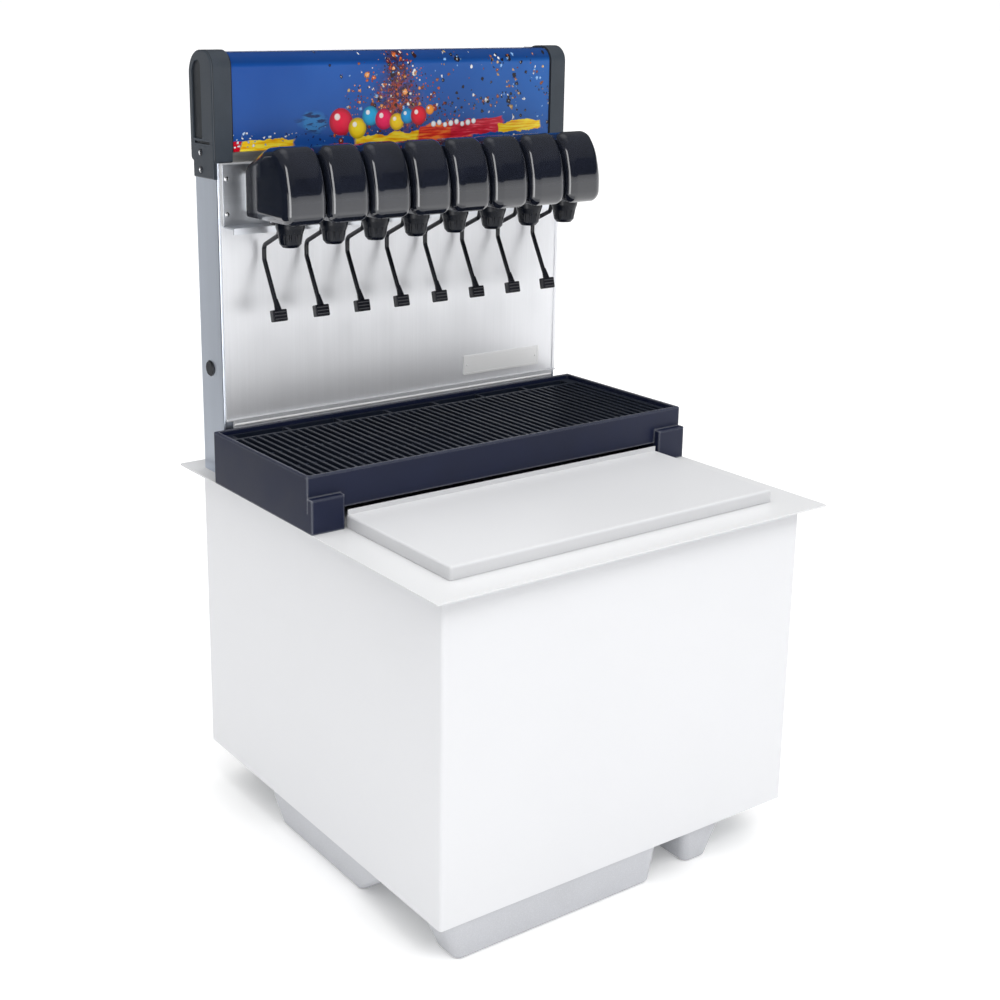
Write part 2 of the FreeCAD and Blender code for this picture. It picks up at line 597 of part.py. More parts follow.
def bracket_rivets():
    face = TOWER_FRONT - SHEET - BRACKET_T
    rivets = []
    for z in RIVET_HEIGHTS:
        head = Part.makeCone(3.4, 2.2, 1.4, V(RIVET_X, face, z), -AXIS_Y)
        rivets += mirrored_pair(head)
    return rivets


def mounting_blocks():
    back = TOWER_FRONT - SHEET - BRACKET_T
    half = BLOCK_W / 2
    blocks = []
    for index in range(VALVE_COUNT):
        x = valve_x(index)
        block = box((x - half, x + half), (BODY_BACK, back), (BLOCK_Z, BLOCK_TOP_Z))
        blocks.append(rounded(block, 2.0, lambda e: along(e, AXIS_Y)))
    return blocks


def valve_bodies():
    """The moulded flow blocks, each with a pair of cheeks that hold the lever pin."""
    bodies = []
    for index in range(VALVE_COUNT):
        x = valve_x(index)
        half = BODY_W / 2
        block = box((x - half, x + half), (BODY_FRONT, BODY_BACK), (BODY_Z, BODY_TOP_Z))
        block = rounded(block, 3.0, lambda e: along(e, AXIS_Z))
        cheeks = []
        cheek_y = (PIVOT_Y - CHEEK_D / 2, PIVOT_Y + CHEEK_D / 2)
        for side in (-1, 1):
            near, far = sorted((x + side * CHEEK_IN, x + side * CHEEK_OUT))
            cheeks.append(box((near, far), cheek_y, (CHEEK_Z, BODY_Z + 1)))
        block = joined([block] + cheeks)
        pin_hole = rod(PIN_R, V(x - CHEEK_OUT - 1, PIVOT_Y, PIVOT_Z), V(x + CHEEK_OUT + 1, PIVOT_Y, PIVOT_Z))
        inside = CHEEK_IN - 0.5
        relief = rod(HUB_R + 1, V(x - inside, PIVOT_Y, PIVOT_Z), V(x + inside, PIVOT_Y, PIVOT_Z))
        bodies.append(block.cut([pin_hole, relief]))
    return bodies


def lever_pins():
    pins = []
    for index in range(VALVE_COUNT):
        x = valve_x(index)
        half = CHEEK_OUT + 0.5
        pins.append(rod(PIN_R, V(x - half, PIVOT_Y, PIVOT_Z), V(x + half, PIVOT_Y, PIVOT_Z)))
    return pins


def lever_springs():
    """The close-wound torsion springs beside the hubs."""
    springs = []
    wire, inner = SPRING_WIRE, PIN_R + SPRING_GAP
    for index in range(VALVE_COUNT):
        start = V(valve_x(index) + HUB_W / 2 + 0.6, PIVOT_Y, PIVOT_Z)
        edges = []
        for turn in range(SPRING_TURNS):
            foot = start + V(turn * wire, inner + wire / 2, 0)
            crest = foot + V(wire / 2, wire / 2, 0)
            edges.append(Part.Arc(foot, crest, foot + V(wire, 0, 0)).toShape())
        low = start + V(0, inner, 0)
        high = low + V(SPRING_TURNS * wire, 0, 0)
        bore = [edges[-1].Vertexes[-1].Point, high, low, edges[0].Vertexes[0].Point]
        edges += Part.makePolygon(bore).Edges
        springs.append(Part.Face(Part.Wire(edges)).revolve(start, AXIS_X, 360))
    return springs


def solenoids():
    coils = []
    for index in range(VALVE_COUNT):
        for side in (-1, 1):
            x = valve_x(index) + side * COIL_X
            base = V(x, COIL_Y, BODY_TOP_Z)
            coil = rod(COIL_R, base, base + AXIS_Z * COIL_H)
            core = rod(CORE_R, base, base + AXIS_Z * CORE_H)
            coils.append(joined([coil, core]))
    return coils


def nozzles():
    """The diffuser nozzles: a collar over a tapered spout with shallow upright flutes."""
    shapes = []
    top = BODY_Z
    for index in range(VALVE_COUNT):
        x = valve_x(index)
        profile = [
            V(x + NOZZLE_BORE, NOZZLE_Y, NOZZLE_Z),
            V(x + NOZZLE_R, NOZZLE_Y, NOZZLE_Z),
            V(x + NOZZLE_MID_R - 2, NOZZLE_Y, NOZZLE_Z + 4),
            V(x + NOZZLE_MID_R, NOZZLE_Y, NOZZLE_Z + 16),
            V(x + NOZZLE_TOP_R - 0.5, NOZZLE_Y, NOZZLE_Z + 24),
            V(x + NOZZLE_TOP_R, NOZZLE_Y, NOZZLE_Z + 30),
            V(x + NOZZLE_TOP_R, NOZZLE_Y, top),
            V(x + NOZZLE_BORE, NOZZLE_Y, top),
        ]
        face = Part.Face(Part.makePolygon(profile + [profile[0]]))
        spout = face.revolve(V(x, NOZZLE_Y, 0), AXIS_Z, 360)
        flutes = []
        for turn in range(FLUTE_COUNT):
            angle = 2 * math.pi * turn / FLUTE_COUNT
            reach = NOZZLE_MID_R - 0.3
            foot = V(x + reach * math.cos(angle), NOZZLE_Y + reach * math.sin(angle), NOZZLE_Z - 1)
            flutes.append(rod(FLUTE_R, foot, foot + AXIS_Z * (FLUTE_H + 1)))
        shapes.append(spout.cut(flutes))
    return shapes


def cover_profile(inset):
    """The valve cover's side outline: a rounded brow, a gently curved front and a small chin."""
    past_edge = 1 if inset else 0
    back, foot = COVER_BACK + past_edge, COVER_Z - past_edge
    return [
        (back, foot),
        (back, 402 - inset),
        (140, 427 - inset),
        (106 + inset / 2, 431 - inset),
        (87 + inset, 408),
        (77 + inset, 372),
        (78 + inset, foot),
    ]


def cover_blank(x, inset):
    """A solid cover, or the space inside it when inset by the wall thickness."""
    half = COVER_W / 2 - inset
    radii = [0, 16, 30, 20, 70, 100, 16]
    inner_radii = [max(radius - inset / 2, 0) for radius in radii]
    blank = prism_x(cover_profile(inset), inner_radii, (x - half, x + half))
    flank = lambda e: abs(abs(e.CenterOfMass.x - x) - half) < 1e-6 and not along(e, AXIS_Z)
    return rounded(blank, COVER_EDGE_R - inset, lambda e: flank(e) and e.CenterOfMass.z > COVER_Z + 1)


def valve_cover(index):
    x = valve_x(index)
    return [cover_blank(x, 0).cut(cover_blank(x, COVER_T))]


def lever(index):
    """A wire lever that hangs behind the nozzle, with a moulded pad that the cup pushes."""
    x = valve_x(index)
    points = [V(x, PIVOT_Y, PIVOT_Z - HUB_R + 1)]
    points += [V(x, y, z) for y, z, bend_r in WIRE_BENDS]
    points.append(V(x, PAD_Y + 1.0, PAD_Z + 3.0))
    radii = [0] + [bend_r for y, z, bend_r in WIRE_BENDS] + [0]
    wire = bent_rod(points, radii, WIRE_R)
    hub = rod(HUB_R, V(x - HUB_W / 2, PIVOT_Y, PIVOT_Z), V(x + HUB_W / 2, PIVOT_Y, PIVOT_Z))
    half = PAD_W / 2
    pad_y = (PAD_Y - PAD_T / 2, PAD_Y + PAD_T / 2)
    pad = box((x - half, x + half), pad_y, (PAD_Z - PAD_DROP, PAD_Z + PAD_RISE))
    pad = rounded(pad, 1.6, lambda e: True)
    pad.rotate(V(x, PAD_Y, PAD_Z), AXIS_X, PAD_TILT)
    bore = rod(PIN_R + 0.06, V(x - HUB_W, PIVOT_Y, PIVOT_Z), V(x + HUB_W, PIVOT_Y, PIVOT_Z))
    return [joined([hub, wire, pad]).cut(bore)]


# Product lines


def product_lines():
    lines = []
    front = TOWER_FRONT - SHEET - BRACKET_T
    for index in range(VALVE_COUNT):
        for dx in (-LINE_DX, LINE_DX):
            x = valve_x(index) + dx
            low, high = V(x, LINE_Y, OUTLET_Z), V(x, LINE_Y, LINE_Z)
            points = [V(x, COLD_BACK, OUTLET_Z), low, high, V(x, front, LINE_Z)]
            lines.append(bent_rod(points, [0, LINE_BEND_R, LINE_BEND_R, 0], LINE_R))
    return lines


def inlet_lines():
    lines = []
    for index in range(VALVE_COUNT):
        x = valve_x(index)
        points = [V(x, COLD_BACK, INLET_Z), V(x, INLET_Y, INLET_Z), V(x, INLET_Y, BASE_Z + BARB_Z - 2)]
        tube = bent_rod(points, [0, INLET_Y - CHASE_FRONT, 0], LINE_R)
        barb = Part.makeCone(LINE_R, BARB_R, BARB_H, V(x, INLET_Y, BASE_Z + BARB_Z), AXIS_Z)
        lines.append(joined([tube, barb]))
    return lines


def save(name, shapes):
    """Raise the solids from deck height to the floor's frame and write them as one STEP."""
    moved = []
    for shape in shapes:
        if len(shape.Solids) != 1:
            raise ValueError(name + " has a piece that is not one solid")
        piece = shape.Solids[0].copy()
        piece.translate(V(0, 0, DECK_TOP))
        if not piece.isValid() or not piece.isClosed():
            raise ValueError(name + " is not a closed, valid solid")
        moved.append(piece)
    shape = moved[0] if len(moved) == 1 else Part.makeCompound(moved)
    shape.exportStep(os.path.join("parts", name + ".step"))


SINGLE_NODES = [
    cabinet_shell,
    base_pan,
    insulation_foam,
    bin_liner,
    cold_plate,
    bin_drain_fitting,
    deck_flange,
    deck_seal,
    foot_front,
    foot_rear,
    foot_left,
    foot_right,
    bin_lid,
    drip_tray,
    cup_rest_grille,
    tray_drain_tube,
    tower_shell,
    power_gland,
    splash_panel,
    side_plug,
    label_plate,
    rear_hatch,
    rear_hatch_screws,
    power_transformer,
    end_cap_left,
    end_cap_right,
    end_cap_screws,
    header_housing,
    header_graphic_panel,
    header_trim,
    lamp_tube,
    lamp_holders,
    lamp_ballast,
    valve_bracket,
    bracket_rivets,
    mounting_blocks,
    valve_bodies,
    lever_pins,
    lever_springs,
    solenoids,
    nozzles,
    product_lines,
    inlet_lines,
]

os.makedirs("parts", exist_ok=True)
for make in SINGLE_NODES:
    save(make.__name__, make())
for number in range(VALVE_COUNT):
    save("valve_cover_%d" % (number + 1), valve_cover(number))
    save("lever_%d" % (number + 1), lever(number))
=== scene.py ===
import json
import math

import bmesh
import bpy
from mathutils import Matrix, Vector


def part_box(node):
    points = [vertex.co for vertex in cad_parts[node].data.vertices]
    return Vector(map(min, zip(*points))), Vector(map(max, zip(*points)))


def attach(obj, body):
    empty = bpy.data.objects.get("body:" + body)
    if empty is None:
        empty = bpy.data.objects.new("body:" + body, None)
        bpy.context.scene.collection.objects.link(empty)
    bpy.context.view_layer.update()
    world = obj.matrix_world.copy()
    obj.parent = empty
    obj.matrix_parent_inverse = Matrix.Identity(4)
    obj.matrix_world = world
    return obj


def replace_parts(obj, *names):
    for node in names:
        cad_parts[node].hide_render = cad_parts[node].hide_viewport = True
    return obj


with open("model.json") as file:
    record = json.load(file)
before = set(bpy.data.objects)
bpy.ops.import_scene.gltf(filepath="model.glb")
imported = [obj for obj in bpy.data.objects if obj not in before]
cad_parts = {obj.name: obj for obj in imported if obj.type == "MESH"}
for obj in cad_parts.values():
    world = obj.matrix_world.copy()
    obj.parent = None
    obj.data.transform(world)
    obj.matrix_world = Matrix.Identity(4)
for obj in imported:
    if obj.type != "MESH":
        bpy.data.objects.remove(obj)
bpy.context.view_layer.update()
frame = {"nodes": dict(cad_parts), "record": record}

# Lengths are in metres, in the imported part's own frame: +Z up, front towards -Y, +X to the right.
DECK_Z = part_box("deck_flange")[1].z
PANEL_LOW, PANEL_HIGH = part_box("header_graphic_panel")
CAP_POCKET_DEPTH = 0.0018
BRACKET_RIVET_R = 0.0034
HATCH_SCREW_R = 0.004

# Camera, measured from the middle of the deck's top
CAMERA_PLACE = Vector((-1.1134, -1.4659, 0.5790))
CAMERA_YAW, CAMERA_PITCH = 0.5873, 0.2499
CAMERA_LENS, CAMERA_SHIFT_X, CAMERA_SHIFT_Y = 53.96, 0.1, -0.1

# Cup rest: its bars and the slots between them, its ribs, and the wide slots behind
BAR_PITCH, BAR_SLOT = 0.0117, 0.0076
RIB_T, CROSS_RIB_DROP = 0.005, 0.003
REAR_PITCH, REAR_SLOT_D = 0.078, 0.017

# Levers: the pad's middle measured from the hinge, the pad's tilt, and the ribs on its front
LEVER_COUNT = 8
PAD_FROM_HINGE, PAD_TILT = Vector((0.0, 0.007, -0.120)), math.radians(-14)
PAD_RIB_COUNT, PAD_RIB_PITCH, PAD_RIB_HALF = 3, 0.0042, 0.0082

# Brightness of the studio dome from straight down (0) to straight up (1): for light, and for reflections
LIGHT_DOME = [(0.0, 1.0), (0.499, 1.0), (0.503, 0.05), (0.70, 0.05), (0.75, 0.80), (1.0, 1.15)]
MIRRORED_DOME = [
    (0.0, 1.0), (0.46, 1.0), (0.560, 0.55), (0.568, 0.015),
    (0.68, 0.015), (0.70, 0.08), (0.93, 0.12), (1.0, 0.5),
]
DOME_STRENGTH, SEEN_BACKDROP = 1.42, 0.72
FLOOR_DROP = 0.0005
CARD_X = -0.95


# Shader building


def set_stops(ramp, stops):
    """Gives a colour ramp these (position, colour) stops."""
    elements = ramp.color_ramp.elements
    while len(elements) < len(stops):
        elements.new(0.5)
    for element, (position, colour) in zip(elements, stops):
        element.position = position
        element.color = colour


class Graph:
    """The shader nodes of one material, joined up by plain calls."""

    def __init__(self, name, **settings):
        self.material = bpy.data.materials.new(name)
        self.material.use_nodes = True
        self.nodes = self.material.node_tree.nodes
        self.links = self.material.node_tree.links
        self.shader = self.nodes["Principled BSDF"]
        for socket, value in settings.items():
            self.put(self.shader.inputs[socket.replace("_", " ")], value)

    def put(self, socket, value):
        """Joins a socket to another one, or gives it a plain value."""
        if isinstance(value, bpy.types.NodeSocket):
            self.links.new(value, socket)
        else:
            socket.default_value = value

    def place(self, scale=(1.0, 1.0, 1.0), shift=(0.0, 0.0, 0.0)):
        """The point in the part's frame, stretched, then shifted."""
        point = self.nodes.new("ShaderNodeTexCoord").outputs["Object"]
        node = self.nodes.new("ShaderNodeMapping")
        self.put(node.inputs["Vector"], point)
        node.inputs["Scale"].default_value = scale
        node.inputs["Location"].default_value = shift
        return node.outputs[0]

    def split(self, vector):
        node = self.nodes.new("ShaderNodeSeparateXYZ")
        self.put(node.inputs[0], vector)
        return node.outputs

    def join(self, x, y, z):
        node = self.nodes.new("ShaderNodeCombineXYZ")
        for socket, value in zip(node.inputs, (x, y, z)):
            self.put(socket, value)
        return node.outputs[0]

    def math(self, operation, *values):
        node = self.nodes.new("ShaderNodeMath")
        node.operation = operation
        for socket, value in zip(node.inputs, values):
            self.put(socket, value)
        return node.outputs[0]

    def span(self, value, start, end, low=0.0, high=1.0):
        """The value's place between start and end, as a number from low to high."""
        node = self.nodes.new("ShaderNodeMapRange")
        for socket, number in zip(node.inputs, (value, start, end, low, high)):
            self.put(socket, number)
        return node.outputs[0]

    def noise(self, vector, scale, detail=2.0, roughness=0.5):
        node = self.nodes.new("ShaderNodeTexNoise")
        self.put(node.inputs["Vector"], vector)
        node.inputs["Scale"].default_value = scale
        node.inputs["Detail"].default_value = detail
        node.inputs["Roughness"].default_value = roughness
        return node.outputs[0]

    def cells(self, vector, scale):
        """The distance to the nearest of many scattered points, and that point's random colour."""
        node = self.nodes.new("ShaderNodeTexVoronoi")
        self.put(node.inputs["Vector"], vector)
        node.inputs["Scale"].default_value = scale
        return node.outputs["Distance"], node.outputs["Color"]

    def mix(self, factor, under, over):
        """One colour laid over another, where the factor is the share of the upper one."""
        node = self.nodes.new("ShaderNodeMix")
        node.data_type = "RGBA"
        self.put(node.inputs[0], factor)
        self.put(node.inputs[6], under)
        self.put(node.inputs[7], over)
        return node.outputs[2]

    def ramp(self, factor, stops, sharp=False):
        node = self.nodes.new("ShaderNodeValToRGB")
        node.color_ramp.interpolation = "CONSTANT" if sharp else "LINEAR"
        set_stops(node, stops)
        self.put(node.inputs[0], factor)
        return node.outputs[0]

    def colour(self, value):
        self.put(self.shader.inputs["Base Color"], value)

    def roughness(self, value):
        self.put(self.shader.inputs["Roughness"], value)

    def bump(self, height, distance):
        """Adds relief, where a height of one stands this many metres proud."""
        node = self.nodes.new("ShaderNodeBump")
        node.inputs["Strength"].default_value = 1.0
        node.inputs["Distance"].default_value = distance
        self.put(node.inputs["Height"], height)
        before = self.shader.inputs["Normal"]
        if before.is_linked:
            self.links.new(before.links[0].from_socket, node.inputs["Normal"])
        self.links.new(node.outputs[0], before)

    def edges(self, radius):
        """A mask that is one along outer edges and zero on open faces, where materials paint a highlight."""
        bevel = self.nodes.new("ShaderNodeBevel")
        bevel.samples = 4
        bevel.inputs["Radius"].default_value = radius
        flat = self.nodes.new("ShaderNodeNewGeometry").outputs["Normal"]
        dot = self.nodes.new("ShaderNodeVectorMath")
        dot.operation = "DOT_PRODUCT"
        self.put(dot.inputs[0], bevel.outputs[0])
        self.put(dot.inputs[1], flat)
        return self.span(dot.outputs["Value"], 0.99, 0.85)


def rgb(red, green, blue):
    return (red, green, blue, 1.0)


def shade(colour, factor):
    """A colour made lighter or darker."""
    return rgb(*[min(part * factor, 1.0) for part in colour[:3]])


def painted_sheet(name, colour, gloss=0.36):
    """Satin powder coat: fine orange peel, faint tone drift, and edges painted a little lighter as a
    highlight.
    """
    g = Graph(name, Specular_IOR_Level=0.45)
    drift = g.noise(g.place(), 4.0, 3.0)
    peel = g.noise(g.place(), 520.0, 2.0)
    speck = g.noise(g.place(), 1900.0, 1.0)
    tone = g.mix(g.span(drift, 0.2, 0.8), shade(colour, 0.980), shade(colour, 1.010))
    tone = g.mix(g.span(speck, 0.66, 0.74, 0.0, 0.10), tone, shade(colour, 0.82))
    # Painted highlight: outer edges a little lighter.
    g.colour(g.mix(g.math("MULTIPLY", g.edges(0.0012), 0.35), tone, shade(colour, 1.08)))
    g.roughness(g.span(drift, 0.2, 0.8, gloss - 0.04, gloss + 0.05))
    g.bump(peel, 0.00006)
    return g.material


def moulded(name, colour, gloss, grain=1300.0, relief=0.00005, edge_highlight=1.9, shine=0.5, highlight_radius=0.0008,
            shaded_pocket_floor=None, mottle=0.12):
    """Moulded plastic: fine cast-in grain, slight tone drift, and a painted highlight that makes edges a
    little lighter.

    The edge_highlight is how much lighter the painted edge highlight is, or its colour. The
    shaded_pocket_floor is the distance from the middle plane of a pocket's floor, which gets painted shade."""
    g = Graph(name, Specular_IOR_Level=shine)
    drift = g.noise(g.place(), 14.0, 3.0)
    pebble = g.noise(g.place(), grain, 3.0, 0.6)
    pores, _ = g.cells(g.place(), grain * 0.7)
    tone = g.mix(g.span(drift, 0.35, 0.65), shade(colour, 1.0 - mottle), shade(colour, 1.0 + mottle))
    tone = g.mix(g.span(pebble, 0.45, 0.7, 0.0, 0.35), tone, shade(colour, 1.35))
    # Painted shade: the pocket's floor darker.
    if shaded_pocket_floor:
        across = g.math("ABSOLUTE", g.split(g.place())[0])
        from_floor = g.math("ABSOLUTE", g.math("SUBTRACT", across, shaded_pocket_floor))
        tone = g.mix(g.math("LESS_THAN", from_floor, 0.0004), tone, shade(colour, 0.42))
    # Painted highlight: outer edges lighter, by a factor or a given colour.
    edge_highlight_colour = edge_highlight if isinstance(edge_highlight, tuple) else shade(colour, edge_highlight)
    g.colour(g.mix(g.math("MULTIPLY", g.edges(highlight_radius), 0.5), tone, edge_highlight_colour))
    g.roughness(g.span(drift, 0.3, 0.7, gloss - 0.06, gloss + 0.06))
    g.bump(g.math("ADD", pebble, g.math("MULTIPLY", pores, 0.6)), relief)
    return g.material


def brushed_steel(name, colour, gloss, grain, metal=1.0):
    """Brushed stainless sheet. The grain gives how fast the brushing varies along each axis."""
    g = Graph(name, Metallic=metal)
    fine = g.noise(g.place(grain), 1.0, 4.0, 0.65)
    broad = g.noise(g.place(tuple(rate * 0.11 for rate in grain)), 1.0, 3.0, 0.6)
    wipe = g.noise(g.place((5.0, 5.0, 2.2)), 1.0, 2.0)
    tone = g.mix(g.span(fine, 0.3, 0.7), shade(colour, 0.95), shade(colour, 1.04))
    tone = g.mix(g.span(broad, 0.3, 0.7), shade(colour, 0.96), tone)
    g.colour(tone)
    streak = g.math("ADD", g.span(fine, 0.3, 0.7, -0.04, 0.05), g.span(wipe, 0.3, 0.7, -0.03, 0.04))
    g.roughness(g.math("ADD", streak, gloss))
    g.bump(fine, 0.000003)
    return g.material


def zinc(name):
    """Galvanised sheet with its crystal spangle."""
    g = Graph(name, Metallic=0.85)
    _, spangle = g.cells(g.place(), 85.0)
    fleck = g.split(spangle)[0]
    fine = g.noise(g.place(), 600.0, 3.0)
    g.colour(g.ramp(fleck, [(0.0, rgb(0.42, 0.44, 0.46)), (1.0, rgb(0.62, 0.64, 0.66))]))
    g.roughness(g.span(fleck, 0.0, 1.0, 0.38, 0.56))
    g.bump(fine, 0.00003)
    return g.material


def foam(name):
    """Cut closed-cell foam with open pores."""
    g = Graph(name, Roughness=0.9)
    pores, tint = g.cells(g.place(), 700.0)
    tone = g.ramp(g.split(tint)[0], [(0.0, rgb(0.72, 0.62, 0.40)), (1.0, rgb(0.86, 0.78, 0.56))])
    g.colour(g.mix(g.span(pores, 0.0, 0.35), rgb(0.50, 0.42, 0.26), tone))
    g.bump(pores, 0.0005)
    return g.material


def cast_metal(name):
    """As-cast aluminium with a sandy skin."""
    g = Graph(name, Metallic=0.9)
    sand = g.noise(g.place(), 900.0, 5.0, 0.7)
    drift = g.noise(g.place(), 12.0, 3.0)
    g.colour(g.mix(g.span(drift, 0.3, 0.7), rgb(0.50, 0.51, 0.52), rgb(0.66, 0.67, 0.68)))
    g.roughness(g.span(sand, 0.3, 0.7, 0.42, 0.62))
    g.bump(sand, 0.00025)
    return g.material


def satin_metal(name, colour, gloss, rate=900.0, contrast=0.09, metal=1.0):
    """Fine satin metal brushed along X."""
    g = Graph(name, Metallic=metal)
    grain = g.noise(g.place((40.0, rate, rate)), 1.0, 4.0, 0.6)
    g.colour(g.mix(g.span(grain, 0.3, 0.7), shade(colour, 1.0 - contrast), shade(colour, 1.0 + contrast)))
    g.roughness(g.span(grain, 0.3, 0.7, gloss - 0.05, gloss + 0.07))
    g.bump(grain, 0.00001)
    return g.material


def dipped_component(name):
    """Varnished laminations and potting, dark and slightly streaked."""
    g = Graph(name, Specular_IOR_Level=0.5)
    layers = g.noise(g.place((30.0, 30.0, 1500.0)), 1.0, 2.0)
    drip = g.noise(g.place((60.0, 60.0, 18.0)), 1.0, 3.0)
    g.colour(g.mix(g.span(layers, 0.35, 0.65), rgb(0.05, 0.05, 0.055), rgb(0.12, 0.12, 0.13)))
    g.roughness(g.span(drip, 0.3, 0.7, 0.28, 0.5))
    g.bump(layers, 0.00012)
    return g.material


def bright_chrome(name):
    """Bright plated steel with light handling marks."""
    g = Graph(name, Metallic=1.0)
    marks = g.noise(g.place(), 1800.0, 3.0)
    drift = g.noise(g.place(), 260.0, 2.0)
    g.colour(g.mix(g.span(drift, 0.3, 0.7), rgb(0.72, 0.73, 0.75), rgb(0.88, 0.88, 0.89)))
    g.roughness(g.span(marks, 0.35, 0.7, 0.12, 0.26))
    g.bump(marks, 0.00001)
    return g.material


def frosted_glass(name):
    """The lamp's frosted tube, brighter in the middle and dusty towards its ends."""
    g = Graph(name, Roughness=0.35, Transmission_Weight=0.35, IOR=1.48)
    dust = g.noise(g.place(), 300.0, 3.0)
    far = g.math("ABSOLUTE", g.split(g.place())[0])
    g.colour(g.mix(g.span(far, 0.19, 0.235), rgb(0.93, 0.94, 0.95), rgb(0.45, 0.45, 0.47)))
    g.bump(dust, 0.00003)
    return g.material


def gloss_cover(name):
    """High-gloss near-black moulding with a trace of orange peel, dulled towards its back."""
    g = Graph(name, Specular_IOR_Level=0.22, Coat_Roughness=0.05, Coat_IOR=1.72)
    drift = g.noise(g.place(), 22.0, 3.0)
    peel = g.noise(g.place(), 240.0, 2.0)
    haze = g.noise(g.place((60.0, 60.0, 400.0)), 1.0, 3.0)
    tone = g.mix(g.span(drift, 0.35, 0.65), rgb(0.0085, 0.0105, 0.0175), rgb(0.012, 0.0145, 0.024))
    # Painted highlight: outer edges a little lighter.
    g.colour(g.mix(g.math("MULTIPLY", g.edges(0.0006), 0.4), tone, rgb(0.03, 0.034, 0.046)))
    back = g.split(g.place())[1]
    gloss = g.span(back, 0.150, 0.166, 1.0, 0.0)
    g.put(g.shader.inputs["Coat Weight"], gloss)
    g.roughness(g.math("ADD", g.span(haze, 0.3, 0.7, 0.09, 0.15), g.span(gloss, 1.0, 0.0, 0.0, 0.40)))
    g.bump(peel, 0.00002)
    return g.material


# The header's printed film, in millimetres across from the middle and up from the panel's lower edge


def disc(g, across, up, centre, radius):
    """Distance from a centre, as a share of the radius."""
    dx = g.math("SUBTRACT", across, centre[0])
    dz = g.math("SUBTRACT", up, centre[1])
    square = g.math("ADD", g.math("MULTIPLY", dx, dx), g.math("MULTIPLY", dz, dz))
    return g.math("DIVIDE", g.math("SQRT", square), radius)


def bubble(g, under, across, up, centre, radius, colour):
    """A glossy round bubble with a darker rim and a small pale glint."""
    away = disc(g, across, up, centre, radius)
    body = g.ramp(away, [(0.0, shade(colour, 1.25)), (0.62, colour), (1.0, shade(colour, 0.42))])
    painted = g.mix(g.span(away, 1.0, 0.93), under, body)
    spot = disc(g, across, up, (centre[0] - radius * 0.3, centre[1] + radius * 0.35), radius * 0.27)
    return g.mix(g.span(spot, 1.0, 0.7, 0.0, 0.85), painted, rgb(1.0, 0.98, 0.95))


def brush_stroke(g, under, across, up, left, right, low, high, paint):
    """A ragged painted stroke between the given limits."""
    wide = g.math("DIVIDE", g.math("SUBTRACT", across, (left + right) / 2), (right - left) / 2)
    tall = g.math("DIVIDE", g.math("SUBTRACT", up, (low + high) / 2), (high - low) / 2)
    reach = g.math("MAXIMUM", g.math("ABSOLUTE", wide), g.math("ABSOLUTE", tall))
    return g.mix(g.span(reach, 1.0, 0.92), under, paint)


def drops(g, under, across, up, rate, size, density, tints):
    """Scattered droplets, each of one tint with a dark rim and a pale glint.

    The size is a share of the droplets' spacing, and the density is the share of them that show."""
    distance, tint = g.cells(g.join(across, up, 0.0), rate)
    parts = g.split(tint)
    radius = g.math("MULTIPLY", g.span(parts[1], 0.0, 1.0, 0.35, 1.0), size)
    away = g.math("DIVIDE", distance, radius)
    shown = g.math("MULTIPLY", g.span(away, 1.0, 0.9), g.math("LESS_THAN", parts[2], density))
    body = g.ramp(parts[0], tints, sharp=True)
    body = g.mix(g.span(away, 0.60, 0.95, 0.0, 0.85), body, rgb(0.010, 0.008, 0.016))
    body = g.mix(g.span(away, 0.30, 0.12, 0.0, 0.65), body, rgb(0.95, 0.90, 0.86))
    return g.mix(shown, under, body)


TOP_BLUE = rgb(0.002, 0.036, 0.170)
DRINK_TINTS = [
    (0.0, rgb(0.030, 0.008, 0.008)),
    (0.24, rgb(0.22, 0.030, 0.012)),
    (0.44, rgb(0.60, 0.12, 0.02)),
    (0.62, rgb(0.85, 0.34, 0.10)),
    (0.76, rgb(0.34, 0.03, 0.02)),
    (0.90, rgb(0.88, 0.84, 0.80)),
]
COLA_TINTS = [
    (0.0, rgb(0.012, 0.012, 0.020)),
    (0.40, rgb(0.30, 0.09, 0.03)),
    (0.55, rgb(0.62, 0.40, 0.16)),
    (0.68, rgb(0.20, 0.42, 0.80)),
    (0.85, rgb(0.80, 0.82, 0.85)),
]
FOAM_TINTS = [
    (0.0, rgb(0.88, 0.91, 0.95)),
    (0.65, rgb(0.50, 0.68, 0.92)),
]
SPECKLE_TINTS = [
    (0.0, rgb(0.005, 0.020, 0.10)),
    (0.55, rgb(0.30, 0.52, 0.85)),
    (0.80, rgb(0.01, 0.03, 0.16)),
]
BUBBLES = [
    ((-93.0, 31.0), 18.0, rgb(0.78, 0.006, 0.05)),
    ((-68.0, 22.0), 14.0, rgb(0.95, 0.66, 0.01)),
    ((-48.0, 37.0), 13.0, rgb(0.01, 0.36, 0.66)),
    ((-27.0, 32.0), 14.0, rgb(0.80, 0.006, 0.10)),
    ((-7.0, 28.0), 11.5, rgb(0.96, 0.60, 0.01)),
    ((9.5, 35.0), 10.5, rgb(0.01, 0.30, 0.66)),
    ((28.0, 35.0), 13.0, rgb(0.76, 0.006, 0.03)),
    ((46.0, 42.0), 7.0, rgb(0.92, 0.30, 0.03)),
]
GOLD_STOPS = [(0.30, rgb(0.80, 0.28, 0.01)), (0.46, rgb(0.95, 0.58, 0.01)), (0.62, rgb(1.0, 0.80, 0.06))]
EMBER_STOPS = [(0.30, rgb(0.45, 0.01, 0.01)), (0.50, rgb(0.78, 0.05, 0.02)), (0.66, rgb(0.90, 0.24, 0.04))]
ROSE_STOPS = [(0.30, rgb(0.40, 0.005, 0.015)), (0.55, rgb(0.68, 0.02, 0.05)), (0.7, rgb(0.85, 0.16, 0.20))]
PEARL_COUNT, PEARL_PITCH = 8, 9.5


